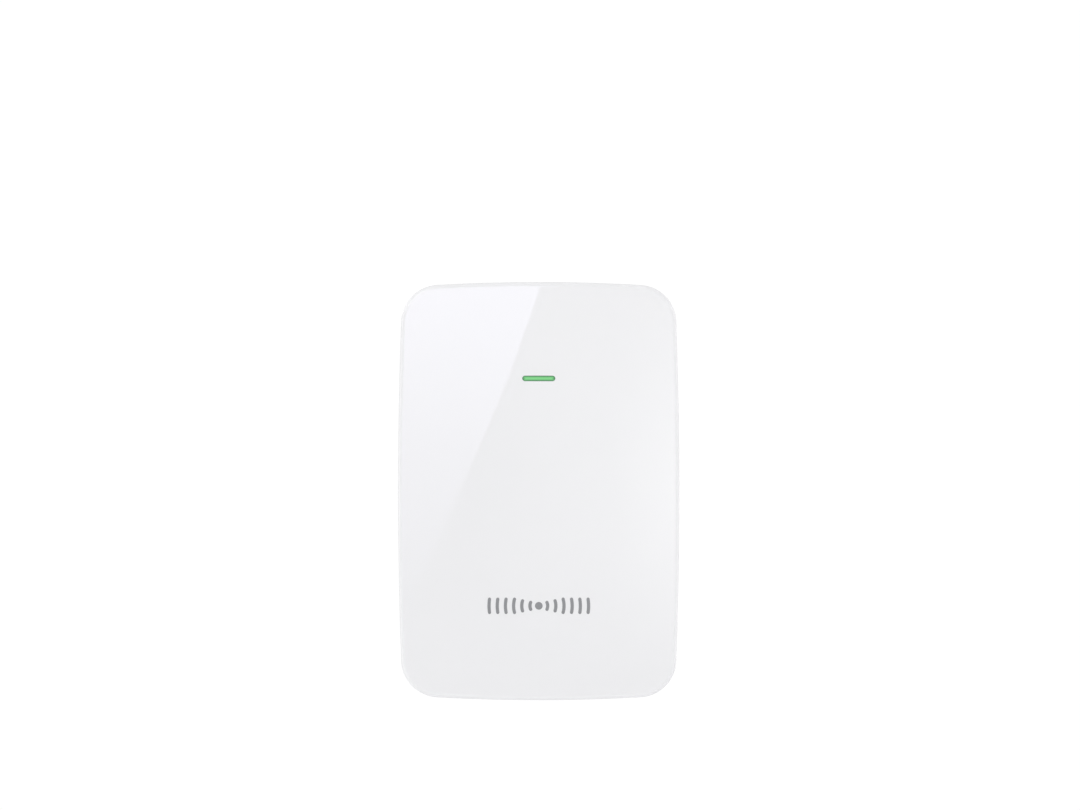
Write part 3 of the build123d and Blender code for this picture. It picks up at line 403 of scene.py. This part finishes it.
def ink_strip(path, width, surface):
    """A thin flat strip of ink along a path of (x, z) points, with rounded ends."""
    half = width / 2
    left, right = [], []
    for i, (x, z) in enumerate(path):
        before, after = path[max(i - 1, 0)], path[min(i + 1, len(path) - 1)]
        dx, dz = after[0] - before[0], after[1] - before[1]
        length = math.hypot(dx, dz)
        nx, nz = -dz / length, dx / length
        left.append((x + nx * half, z + nz * half))
        right.append((x - nx * half, z - nz * half))

    def cap(index, neighbour):
        x, z = path[index]
        start = math.atan2(z - path[neighbour][1], x - path[neighbour][0]) - math.pi / 2
        turns = [start + math.pi * i / CAP_STEPS for i in range(1, CAP_STEPS)]
        return [(x + half * math.cos(turn), z + half * math.sin(turn)) for turn in turns]

    return ink_patch(right + cap(-1, -2) + list(reversed(left)) + cap(0, 1), surface)


def ink_frame(x, z, width, height, stroke, corner, surface):
    """A rounded rectangular line of ink."""
    least_radius = 0.05 * MM

    def loop(inset):
        radius = max(corner - inset, least_radius)
        half_w, half_h = width / 2 - inset - radius, height / 2 - inset - radius
        edge = []
        for quarter, (side, end) in enumerate(((1, 1), (-1, 1), (-1, -1), (1, -1))):
            centre_x, centre_z = x + side * half_w, z + end * half_h
            for i in range(INK_CORNER_STEPS + 1):
                turn = math.pi / 2 * (quarter + i / INK_CORNER_STEPS)
                edge.append((centre_x + radius * math.cos(turn), centre_z + radius * math.sin(turn)))
        return edge

    outer, inner = loop(0.0), loop(stroke)
    bottom, top = 0, 1
    rings = []
    for edge, layer in ((outer, bottom), (outer, top), (inner, top), (inner, bottom)):
        rings.append([(px, surface(px, pz)[layer], pz) for px, pz in edge])
    return join_rings(rings, closed=True)


def print_piece(name, shapes):
    """One object made of all the ink of a print."""
    points, faces = merge_shapes(shapes)
    piece = new_object(name, points, faces)
    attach(piece, "unit")
    return piece


def make_printed_mark():
    """A dot with rows of arcs spreading to each side, like waves leaving an aerial."""
    dot_r, first_r, pitch, arcs, stroke = 0.95 * MM, 2.2 * MM, 2.03 * MM, 6, 0.80 * MM
    first_height, growth, full_height_arc = 0.62, 0.38, 2  # the arcs' heights, as shares of the mark's
    dot = []
    for i in range(DOT_STEPS):
        turn = 2 * math.pi * i / DOT_STEPS
        dot.append((dot_r * math.cos(turn), MARK_Z + dot_r * math.sin(turn)))
    shapes = [ink_patch(dot, on_crown)]
    for side in (-1, 1):
        for arc in range(arcs):
            radius = first_r + arc * pitch
            half_h = MARK_H / 2 * (first_height + growth * min(arc / full_height_arc, 1.0))
            reach = math.asin((half_h - stroke / 2) / radius)
            path = []
            for i in range(ARC_STEPS + 1):
                turn = -reach + 2 * reach * i / ARC_STEPS
                path.append((side * radius * math.cos(turn), MARK_Z + radius * math.sin(turn)))
            shapes.append(ink_strip(path, stroke, on_crown))
    return print_piece("printed_mark", shapes)


def word_bars(half_w, left, top):
    """A heading bar, then rows of shorter bars; seen from behind they start at the left, which is +X."""
    heading_w, heading_h = 13.0 * MM, 1.5 * MM
    rows, first_row, row_pitch = 6, 3.2 * MM, 1.9 * MM
    word_h, word_gap, free_right = 0.62 * MM, 0.7 * MM, 13.5 * MM
    shortest, longer, lengths = 1.6, 1.1, 4
    shapes = [ink_bar(left - heading_w / 2, top, heading_w, heading_h, on_label)]
    for row in range(rows):
        z = top - first_row - row * row_pitch
        x = left
        word = 0
        length = 0.0
        while x - length > -half_w + free_right:
            length = (shortest + longer * ((row * 5 + word * 3) % lengths)) * MM
            shapes.append(ink_bar(x - length / 2, z, length, word_h, on_label))
            x -= length + word_gap
            word += 1
    return shapes


def symbols(x, top):
    """Double insulation, as one square inside another, and indoor use, as a house below them."""
    square_z, square_sizes, square_corner = top - 6.6 * MM, (5.2 * MM, 3.1 * MM), 0.1 * MM
    stroke, house_drop, house = 0.4 * MM, 7.2 * MM, 2.5 * MM
    house_z = square_z - house_drop
    eave_x, eave_z = house * 1.25, house_z + 0.1 * MM
    wall_x, wall_top_z = house * 0.85, house_z + 0.3 * MM
    shapes = []
    for size in square_sizes:
        shapes.append(ink_frame(x, square_z, size, size, stroke, square_corner, on_label))
    roof = [(x - eave_x, eave_z), (x, house_z + house), (x + eave_x, eave_z)]
    walls = [(x - wall_x, wall_top_z), (x - wall_x, house_z - house)]
    walls += [(x + wall_x, house_z - house), (x + wall_x, wall_top_z)]
    for path in (roof[:2], roof[1:], walls[:2], walls[1:3], walls[2:]):
        shapes.append(ink_strip(path, stroke, on_label))
    return shapes


def bar_code(left, z):
    """A row of bars one to three steps wide, with gaps of one or two steps."""
    height, step, bars = 5.4 * MM, 0.32 * MM, 26
    shapes = []
    x = left
    for bar in range(bars):
        width = step * (1 + (bar * 7 + bar // 3) % 3)
        shapes.append(ink_bar(x - width / 2, z, width, height, on_label))
        x -= width + step * (1 + (bar * 5 + 1) % 2)
    return shapes


def make_label_print():
    """A generic rating plate: a frame, plain bars in place of words, two standard symbols and a bar code."""
    middle_x, middle_z = 0.0, (LABEL_LOW.z + LABEL_HIGH.z) / 2
    half_w, half_h = LABEL_HIGH.x - middle_x, LABEL_HIGH.z - middle_z
    margin, line, corner = 1.3 * MM, 0.25 * MM, 1.0 * MM
    words_inset, words_drop, symbols_inset = 3.2 * MM, 4.0 * MM, 6.2 * MM
    rule_drop, code_rise = 5.6 * MM, 6.2 * MM
    frame_w, frame_h = 2 * (half_w - margin), 2 * (half_h - margin)
    left = half_w - words_inset
    shapes = [ink_frame(middle_x, middle_z, frame_w, frame_h, line, corner, on_label)]
    shapes += word_bars(half_w, left, middle_z + half_h - words_drop)
    shapes.append(ink_bar(middle_x, middle_z - rule_drop, frame_w - 2 * line, line, on_label))
    shapes += symbols(-half_w + symbols_inset, middle_z + half_h)
    shapes += bar_code(left, middle_z - half_h + code_rise)
    return print_piece("printed_label", shapes)


# ---------------------------------------------------------------- node helpers

NOISE_LOW, NOISE_HIGH = 0.3, 0.7  # the range that most of a noise value lies in
MIX_FACTOR, MIX_FIRST, MIX_SECOND, MIX_RESULT = 0, 6, 7, 2  # a Mix node's sockets when it mixes colours
WHITE = (1.0, 1.0, 1.0)


def feed(tree, value, socket):
    """Gives an input a number, a colour or another node's output."""
    if isinstance(value, bpy.types.NodeSocket):
        tree.links.new(value, socket)
    elif isinstance(value, tuple):
        socket.default_value = (*value, 1.0)
    else:
        socket.default_value = value


def math_node(tree, operation, *values):
    """The result of a Math node on numbers or outputs."""
    node = tree.nodes.new("ShaderNodeMath")
    node.operation = operation
    for value, socket in zip(values, node.inputs):
        feed(tree, value, socket)
    return node.outputs[0]


def spread(tree, value, low, high, from_low=NOISE_LOW, from_high=NOISE_HIGH, smooth=False):
    """Maps a value, a noise value unless its own range is given, onto the range from low to high."""
    remap = tree.nodes.new("ShaderNodeMapRange")
    remap.interpolation_type = "SMOOTHSTEP" if smooth else "LINEAR"
    remap.inputs["From Min"].default_value = from_low
    remap.inputs["From Max"].default_value = from_high
    remap.inputs["To Min"].default_value = low
    remap.inputs["To Max"].default_value = high
    tree.links.new(value, remap.inputs["Value"])
    return remap.outputs["Result"]


def mix_colours(tree, value, first, second):
    """A colour that runs from first to second as value runs from 0 to 1."""
    mix = tree.nodes.new("ShaderNodeMix")
    mix.data_type = "RGBA"
    feed(tree, value, mix.inputs[MIX_FACTOR])
    feed(tree, first, mix.inputs[MIX_FIRST])
    feed(tree, second, mix.inputs[MIX_SECOND])
    return mix.outputs[MIX_RESULT]


def mix_shaders(tree, value, first, second):
    """The output of a shader that is first where value is 0 and second where it is 1."""
    mix = tree.nodes.new("ShaderNodeMixShader")
    tree.links.new(value, mix.inputs["Fac"])
    tree.links.new(first.outputs[0], mix.inputs[1])
    tree.links.new(second.outputs[0], mix.inputs[2])
    return mix.outputs[0]


def axes(tree, space="Object"):
    """A place's X, Y and Z outputs, in the object's own space or another of the coordinate node's."""
    place = tree.nodes.new("ShaderNodeTexCoord")
    split = tree.nodes.new("ShaderNodeSeparateXYZ")
    tree.links.new(place.outputs[space], split.inputs["Vector"])
    return split.outputs


def object_noise(tree, size, detail=3.0, stretch=(1.0, 1.0, 1.0)):
    """Noise whose blotches are about size metres across in the object's own space."""
    place = tree.nodes.new("ShaderNodeTexCoord")
    scale = tree.nodes.new("ShaderNodeMapping")
    scale.inputs["Scale"].default_value = tuple(axis / size for axis in stretch)
    noise = tree.nodes.new("ShaderNodeTexNoise")
    noise.inputs["Scale"].default_value = 1.0
    noise.inputs["Detail"].default_value = detail
    tree.links.new(place.outputs["Object"], scale.inputs["Vector"])
    tree.links.new(scale.outputs["Vector"], noise.inputs["Vector"])
    return noise.outputs["Fac"]


def bump(tree, shader, value, depth):
    """Raises the surface by up to depth metres where value is 1."""
    node = tree.nodes.new("ShaderNodeBump")
    node.inputs["Strength"].default_value = 1.0
    node.inputs["Distance"].default_value = depth
    tree.links.new(value, node.inputs["Height"])
    tree.links.new(node.outputs["Normal"], shader.inputs["Normal"])


def shade(colour, factor):
    """A colour made lighter or darker."""
    return tuple(min(channel * factor, 1.0) for channel in colour)


# ---------------------------------------------------------------- materials


def start_material(name):
    """A new material with only a Principled shader; returns the material, its node tree and the shader."""
    material = bpy.data.materials.new(name)
    material.use_nodes = True
    tree = material.node_tree
    shader = tree.nodes["Principled BSDF"]
    return material, tree, shader


def moulded(name, colour, roughness, grain, depth, mottle=0.02):
    """Moulded plastic, rubber, epoxy or ceramic: fine grain, faint mottling and uneven gloss."""
    least_cloud, cloud_grains, cloud_detail, grain_detail = 6 * MM, 40, 2.0, 3.0
    smoother, rougher = 0.9, 1.1
    material, tree, shader = start_material(name)
    cloud = object_noise(tree, max(grain * cloud_grains, least_cloud), cloud_detail)
    tone = spread(tree, cloud, 0.0, 1.0)
    base = mix_colours(tree, tone, shade(colour, 1 - mottle), shade(colour, 1 + mottle))
    gloss = spread(tree, cloud, roughness * smoother, min(roughness * rougher, 1.0))
    tree.links.new(base, shader.inputs["Base Color"])
    tree.links.new(gloss, shader.inputs["Roughness"])
    bump(tree, shader, object_noise(tree, grain, grain_detail), depth)
    return material


def metal(name, colour, roughness, along=(1.0, 1.0, 1.0)):
    """Bare or plated metal with fine drawn lines; along is small on the axis that the lines follow."""
    line, line_depth, line_detail = 0.06 * MM, 0.002 * MM, 4.0
    stain_size, stain_detail, darker, lighter = 5 * MM, 3.0, 0.9, 1.06
    smoother, rougher = 0.75, 1.3
    material, tree, shader = start_material(name)
    lines = object_noise(tree, line, line_detail, along)
    stain = spread(tree, object_noise(tree, stain_size, stain_detail), 0.0, 1.0)
    base = mix_colours(tree, stain, shade(colour, darker), shade(colour, lighter))
    gloss = spread(tree, lines, roughness * smoother, roughness * rougher)
    tree.links.new(base, shader.inputs["Base Color"])
    tree.links.new(gloss, shader.inputs["Roughness"])
    bump(tree, shader, lines, line_depth)
    shader.inputs["Metallic"].default_value = 1.0
    return material


def screw_metal():
    """Zinc-plated steel with painted shade below the tops of the case screws' heads, darkening the cross
    recess.

    The board screws lie nearer the wall than those tops, so they stay bright.
    """
    zinc, roughness, recess_shade_colour = (0.52, 0.53, 0.55), 0.34, (0.10, 0.10, 0.11)
    dark_depth, bright_depth = 0.5 * MM, 0.1 * MM
    material = metal("zinc_steel", zinc, roughness)
    tree = material.node_tree
    base = tree.nodes["Principled BSDF"].inputs["Base Color"]
    head_y = SCREW_HIGH.y
    # painted shade: the colour darkens below the tops of the case screws' heads, where the cross recess lies
    # in shade
    recess_shade_mask = spread(tree, axes(tree)["Y"], 1.0, 0.0, head_y - dark_depth, head_y - bright_depth)
    bare = base.links[0].from_socket
    tree.links.new(mix_colours(tree, recess_shade_mask, bare, recess_shade_colour), base)
    return material


def front_plastic():
    """High-gloss white moulding with the faint, wide ripple of polished tooling."""
    white, warm = (0.828, 0.828, 0.834), (0.834, 0.832, 0.838)
    cloud_size, cloud_detail, smoothest, roughest = 30 * MM, 2.0, 0.008, 0.014
    ripple_size, ripple_detail, ripple_depth = 7 * MM, 1.0, 0.0006 * MM
    material, tree, shader = start_material("front_gloss_white")
    cloud = object_noise(tree, cloud_size, cloud_detail)
    base = mix_colours(tree, spread(tree, cloud, 0.0, 1.0), white, warm)
    tree.links.new(base, shader.inputs["Base Color"])
    tree.links.new(spread(tree, cloud, smoothest, roughest), shader.inputs["Roughness"])
    bump(tree, shader, object_noise(tree, ripple_size, ripple_detail), ripple_depth)
    shader.inputs["IOR"].default_value = 1.5
    return material


def light_plastic():
    """Milky green light bar, brightest in the middle and darker where it meets its slot: a dimmer glow there,
    and painted shade in its colour.
    """
    middle_colour, shaded_edge_colour = (0.09, 0.30, 0.105), (0.03, 0.11, 0.045)
    middle_glow, edge_glow = (0.11, 0.335, 0.123), (0.022, 0.085, 0.038)
    soft_x, soft_z, darkest = 0.85 * MM, 0.5 * MM, -0.1
    material, tree, shader = start_material("lit_green")
    place = axes(tree)

    def past_edge(axis, middle, reach, soft):
        """How far past the slot's edge a place is on an axis, in soft lengths: -1 where the shade begins."""
        off_middle = math_node(tree, "ABSOLUTE", math_node(tree, "SUBTRACT", place[axis], middle))
        return math_node(tree, "DIVIDE", math_node(tree, "SUBTRACT", off_middle, reach), soft)

    past_end = past_edge("X", 0.0, SLOT_W / 2, soft_x)
    past_side = past_edge("Z", LIGHT_Z, SLOT_H / 2, soft_z)
    edge = spread(tree, math_node(tree, "MAXIMUM", past_end, past_side), 0.0, 1.0, -1.0, darkest)
    # painted shade: the bar's colour darkens towards the slot's edge along with its glow
    tree.links.new(mix_colours(tree, edge, middle_colour, shaded_edge_colour), shader.inputs["Base Color"])
    tree.links.new(mix_colours(tree, edge, middle_glow, edge_glow), shader.inputs["Emission Color"])
    shader.inputs["Emission Strength"].default_value = 1.0
    shader.inputs["Roughness"].default_value = 0.3
    return material


def label_film():
    """Satin silver-white polyester film."""
    material = moulded("label_film_satin", (0.60, 0.61, 0.62), 0.36, 0.35 * MM, 0.004 * MM, 0.015)
    shader = material.node_tree.nodes["Principled BSDF"]
    shader.inputs["Metallic"].default_value = 0.35
    return material


def laminate(name, mask, copper):
    """Circuit board: solder mask over faint copper tracks."""
    track_scale, track_width, track_blur, second_mask = 1 / (9 * MM), 0.03, 0.1, 0.85
    weave_size, weave_detail, weave_depth = 0.5 * MM, 2.0, 0.006 * MM
    smoothest, roughest = 0.28, 0.42
    material, tree, shader = start_material(name)
    place = tree.nodes.new("ShaderNodeTexCoord")
    turn = tree.nodes.new("ShaderNodeMapping")
    turn.inputs["Rotation"].default_value = (math.radians(90), 0.0, 0.0)
    tracks = tree.nodes.new("ShaderNodeTexBrick")
    tracks.inputs["Scale"].default_value = track_scale
    tracks.inputs["Mortar Size"].default_value = track_width
    tracks.inputs["Mortar Smooth"].default_value = track_blur
    feed(tree, mask, tracks.inputs["Color1"])
    feed(tree, shade(mask, second_mask), tracks.inputs["Color2"])
    feed(tree, copper, tracks.inputs["Mortar"])
    tree.links.new(place.outputs["Object"], turn.inputs["Vector"])
    tree.links.new(turn.outputs["Vector"], tracks.inputs["Vector"])
    tree.links.new(tracks.outputs["Color"], shader.inputs["Base Color"])
    weave = object_noise(tree, weave_size, weave_detail)
    tree.links.new(spread(tree, weave, smoothest, roughest), shader.inputs["Roughness"])
    bump(tree, shader, weave, weave_depth)
    return material


def slot_materials():
    """A material for each of the record's slots."""
    fine, coarse = 0.22 * MM, 0.5 * MM
    return {
        "front_gloss": front_plastic(),
        "back_matte": moulded("back_matte_white", (0.80, 0.80, 0.81), 0.48, fine, 0.012 * MM, 0.01),
        "label_film": label_film(),
        "screw_steel": screw_metal(),
        "light_green": light_plastic(),
        "black_foam": moulded("black_foam", (0.02, 0.02, 0.02), 0.95, coarse, 0.15 * MM, 0.2),
        "led_resin": moulded("led_resin", (0.80, 0.74, 0.30), 0.25, fine, 0.002 * MM),
        "plug_plastic": moulded("plug_white", (0.76, 0.76, 0.77), 0.42, fine, 0.008 * MM, 0.01),
        "blade_nickel": metal("nickel_blade", (0.72, 0.69, 0.63), 0.24, (1.0, 0.02, 1.0)),
        "button_plastic": moulded("button_grey", (0.60, 0.61, 0.63), 0.38, fine, 0.006 * MM, 0.01),
        "switch_black": moulded("switch_black", (0.02, 0.02, 0.022), 0.5, fine, 0.006 * MM, 0.1),
        "plunger_plastic": moulded("plunger_red", (0.45, 0.03, 0.025), 0.4, fine, 0.004 * MM, 0.04),
        "power_laminate": laminate("power_laminate", (0.36, 0.26, 0.10), (0.30, 0.20, 0.07)),
        "radio_laminate": laminate("radio_laminate", (0.010, 0.12, 0.045), (0.03, 0.20, 0.07)),
        "insulator_film": moulded("insulator_film", (0.62, 0.58, 0.46), 0.35, coarse, 0.01 * MM, 0.04),
        "chip_epoxy": moulded("chip_epoxy", (0.018, 0.018, 0.02), 0.55, fine, 0.008 * MM, 0.15),
        "optocoupler_epoxy": moulded("opto_white", (0.62, 0.61, 0.57), 0.5, fine, 0.006 * MM, 0.03),
        "fuse_brown": moulded("fuse_brown", (0.10, 0.04, 0.018), 0.42, fine, 0.005 * MM, 0.1),
        "varistor_coating": moulded("varistor_blue", (0.015, 0.06, 0.28), 0.3, coarse, 0.03 * MM, 0.1),
        "y_capacitor_coating": moulded("disc_blue", (0.02, 0.13, 0.42), 0.28, coarse, 0.03 * MM, 0.1),
        "capacitor_sleeve": moulded("sleeve_dark", (0.012, 0.016, 0.035), 0.25, coarse, 0.008 * MM, 0.1),
        "choke_sleeve": moulded("sleeve_black", (0.015, 0.015, 0.015), 0.4, coarse, 0.015 * MM, 0.1),
        "ferrite": moulded("ferrite_grey", (0.05, 0.05, 0.055), 0.65, fine, 0.02 * MM, 0.12),
        "bobbin_plastic": moulded("bobbin_black", (0.018, 0.018, 0.018), 0.5, fine, 0.01 * MM, 0.1),
        "winding_tape": moulded("winding_tape", (0.68, 0.43, 0.03), 0.28, coarse, 0.02 * MM, 0.06),
        "header_plastic": moulded("header_black", (0.015, 0.015, 0.015), 0.5, fine, 0.006 * MM, 0.1),
        "contact_gold": metal("gold_contact", (0.95, 0.68, 0.25), 0.22),
        "can_metal": metal("tinned_steel", (0.66, 0.66, 0.66), 0.30, (1.0, 1.0, 0.03)),
        "pad_silicone": moulded("pad_silicone", (0.28, 0.36, 0.48), 0.8, coarse, 0.03 * MM, 0.06),
        "sink_aluminium": metal("sink_aluminium", (0.70, 0.71, 0.73), 0.36, (1.0, 1.0, 0.02)),
        "ceramic_tan": moulded("ceramic_tan", (0.34, 0.21, 0.10), 0.4, fine, 0.004 * MM, 0.1),
        "socket_plastic": moulded("socket_black", (0.016, 0.016, 0.018), 0.42, fine, 0.006 * MM, 0.1),
        "coax_jacket": moulded("coax_black", (0.015, 0.015, 0.017), 0.38, fine, 0.004 * MM, 0.1),
    }


def ink_material(name, colour):
    """Satin printing ink."""
    roughness, grain, depth, mottle = 0.35, 0.3 * MM, 0.002 * MM, 0.02
    return moulded(name, colour, roughness, grain, depth, mottle)


GREY_INK, DARK_INK = (0.262, 0.266, 0.274), (0.05, 0.05, 0.055)


# ---------------------------------------------------------------- studio

CAMERA_PLACE, CAMERA_TILT = (0.3 * MM, -2.1, -8.6 * MM), math.radians(90)
CAMERA_LENS, CAMERA_SENSOR_W, CAMERA_REACH = 278.0, 36.0, 30.0  # the lens and the sensor are in millimetres

BACKDROP_STRENGTH = 1.02
SKY_COLOUR = (0.99, 0.993, 1.0)
SKY_ABOVE, SKY_BELOW = 0.73, 0.51

FLOOR_Z, FLOOR_HALF = -0.55, 5.0
FLOOR_COLOUR, FLOOR_ROUGHNESS, FLOOR_SPECULAR = (0.93, 0.93, 0.935), 0.9, 0.2

# soft boxes, each aimed at the middle of the case: name, place, width, height and power in watts
SOFT_BOXES = (
    ("key_softbox", (-0.95, -2.2, 1.15), 1.3, 1.3, 19.0),
    ("top_softbox", (0.2, -0.1, 2.2), 3.0, 3.0, 4.0),
    ("left_softbox", (-2.0, -0.25, 0.3), 1.0, 1.6, 3.5),
    ("right_softbox", (2.0, -0.25, 0.3), 1.0, 1.6, 8.0),
    ("back_left_softbox", (-1.5, 1.6, 0.9), 1.2, 1.2, 8.0),
    ("back_right_softbox", (1.4, 1.7, 0.2), 1.0, 1.4, 6.0),
)

# The light panel stands behind the camera and shows only as a reflection in the glossy face. Its bright
# part ends in a slanting, slightly bowed edge, and it fades downwards. A soft glow lies on its right.
PANEL_Y = -2.63
PANEL_HALF_W, PANEL_LOW_Z, PANEL_HIGH_Z = 0.36, -0.50, 0.40
EDGE_X, EDGE_SLOPE, EDGE_BEND, EDGE_SOFT = -0.0864, 0.418, -0.174, 0.003
BRIGHT_TOP, BRIGHT_TOP_Z, BRIGHT_END_Z = 2.25, 0.24, -0.235
BRIGHT_COLOUR = (0.97, 0.95, 1.13)
WASH, WASH_X_START, WASH_X_END = 1.0, -0.11, 0.115
GLOW, GLOW_X_START, GLOW_X_END = 1.35, 0.105, 0.21
GLOW_Z, GLOW_REACH = -0.04, 0.36
LIFT, LIFT_Z_START, LIFT_Z_END = 0.5, -0.02, 0.22
PANEL_BASE = 0.33


def make_camera():
    """A long lens straight in front of the case, as the photograph has it."""
    data = bpy.data.cameras.new("camera")
    data.lens = CAMERA_LENS
    data.sensor_width = CAMERA_SENSOR_W
    data.clip_end = CAMERA_REACH
    camera = bpy.data.objects.new("camera", data)
    bpy.context.collection.objects.link(camera)
    camera.location = CAMERA_PLACE
    camera.rotation_euler = (CAMERA_TILT, 0.0, 0.0)
    bpy.context.scene.camera = camera


def make_world():
    """A white studio: plain white to the camera, and as a light a little brighter above than below."""
    world = bpy.data.worlds.new("studio")
    bpy.context.scene.world = world
    world.use_nodes = True
    tree = world.node_tree
    tree.nodes.clear()
    seen = tree.nodes.new("ShaderNodeBackground")
    feed(tree, WHITE, seen.inputs["Color"])
    feed(tree, BACKDROP_STRENGTH, seen.inputs["Strength"])
    lit = tree.nodes.new("ShaderNodeBackground")
    feed(tree, SKY_COLOUR, lit.inputs["Color"])
    height = axes(tree, "Generated")["Z"]
    feed(tree, spread(tree, height, SKY_BELOW, SKY_ABOVE, -1.0, 1.0), lit.inputs["Strength"])
    path = tree.nodes.new("ShaderNodeLightPath")
    output = tree.nodes.new("ShaderNodeOutputWorld")
    tree.links.new(mix_shaders(tree, path.outputs["Is Camera Ray"], lit, seen), output.inputs["Surface"])


def make_floor():
    """A wide pale floor that can't be seen from below."""
    corners = [(-FLOOR_HALF, -FLOOR_HALF, FLOOR_Z), (FLOOR_HALF, -FLOOR_HALF, FLOOR_Z)]
    corners += [(FLOOR_HALF, FLOOR_HALF, FLOOR_Z), (-FLOOR_HALF, FLOOR_HALF, FLOOR_Z)]
    floor = flat_sheet("studio_floor", corners)
    material, tree, shader = start_material("pale_floor")
    feed(tree, FLOOR_COLOUR, shader.inputs["Base Color"])
    feed(tree, FLOOR_ROUGHNESS, shader.inputs["Roughness"])
    feed(tree, FLOOR_SPECULAR, shader.inputs["Specular IOR Level"])
    side = tree.nodes.new("ShaderNodeNewGeometry")
    clear = tree.nodes.new("ShaderNodeBsdfTransparent")
    surface = tree.nodes["Material Output"].inputs["Surface"]
    tree.links.new(mix_shaders(tree, side.outputs["Backfacing"], shader, clear), surface)
    floor.data.materials.append(material)


def make_panel():
    """The light panel: a bright part, a wash and glow on the right, and a dim base that lifts upwards."""
    corners = [(-PANEL_HALF_W, PANEL_Y, PANEL_LOW_Z), (-PANEL_HALF_W, PANEL_Y, PANEL_HIGH_Z)]
    corners += [(PANEL_HALF_W, PANEL_Y, PANEL_HIGH_Z), (PANEL_HALF_W, PANEL_Y, PANEL_LOW_Z)]
    panel = flat_sheet("light_panel", corners)
    panel.visible_camera = False
    panel.visible_shadow = False
    material = bpy.data.materials.new("panel_glow")
    material.use_nodes = True
    tree = material.node_tree
    tree.nodes.clear()
    place = axes(tree)
    x, z = place["X"], place["Z"]

    bend = math_node(tree, "MULTIPLY", math_node(tree, "MULTIPLY", z, z), EDGE_BEND)
    edge_x = math_node(tree, "ADD", math_node(tree, "MULTIPLY_ADD", z, EDGE_SLOPE, EDGE_X), bend)
    left_of_edge = math_node(tree, "SUBTRACT", edge_x, x)
    inside = spread(tree, left_of_edge, 0.0, 1.0, -EDGE_SOFT / 2, EDGE_SOFT / 2, smooth=True)
    fade = spread(tree, z, 0.0, BRIGHT_TOP, BRIGHT_END_Z, BRIGHT_TOP_Z)
    bright = math_node(tree, "MULTIPLY", inside, fade)

    wash = spread(tree, x, 0.0, WASH, WASH_X_START, WASH_X_END)
    rise = spread(tree, x, 0.0, GLOW, GLOW_X_START, GLOW_X_END)
    away = math_node(tree, "ABSOLUTE", math_node(tree, "SUBTRACT", z, GLOW_Z))
    along = spread(tree, away, 1.0, 0.0, 0.0, GLOW_REACH, smooth=True)
    glow = math_node(tree, "MULTIPLY", math_node(tree, "ADD", wash, rise), along)

    base = spread(tree, z, PANEL_BASE, PANEL_BASE + LIFT, LIFT_Z_START, LIFT_Z_END)
    total = math_node(tree, "ADD", math_node(tree, "ADD", bright, glow), base)
    emission = tree.nodes.new("ShaderNodeEmission")
    output = tree.nodes.new("ShaderNodeOutputMaterial")
    tree.links.new(mix_colours(tree, inside, WHITE, BRIGHT_COLOUR), emission.inputs["Color"])
    tree.links.new(total, emission.inputs["Strength"])
    tree.links.new(emission.outputs[0], output.inputs["Surface"])
    panel.data.materials.append(material)


def soft_light(name, place, width, height, power):
    """A white rectangular light, unseen by the camera and aimed at the middle of the case."""
    data = bpy.data.lights.new(name, "AREA")
    data.shape = "RECTANGLE"
    data.size, data.size_y = width, height
    data.energy = power
    light = bpy.data.objects.new(name, data)
    bpy.context.collection.objects.link(light)
    light.visible_camera = False
    light.location = place
    direction = Vector((0.0, 0.0, MIDDLE_Z)) - Vector(place)
    light.rotation_euler = direction.to_track_quat("-Z", "Y").to_euler()


# ---------------------------------------------------------------- build

make_camera()
make_world()
make_floor()
make_panel()
for soft_box in SOFT_BOXES:
    soft_light(*soft_box)

MATERIALS = slot_materials()
for entry in frame["record"]["subparts"]:
    node = frame["nodes"][entry["node"]]
    node.data.materials.clear()
    node.data.materials.append(MATERIALS[entry["material_slot"]])

front = make_front_cover()
front.data.materials.append(MATERIALS["front_gloss"])
mark = make_printed_mark()
mark.data.materials.append(ink_material("grey_ink", GREY_INK))
label_print = make_label_print()
label_print.data.materials.append(ink_material("dark_ink", DARK_INK))

bpy.context.scene.view_settings.view_transform = "Standard"
bpy.context.scene.view_settings.look = "None"
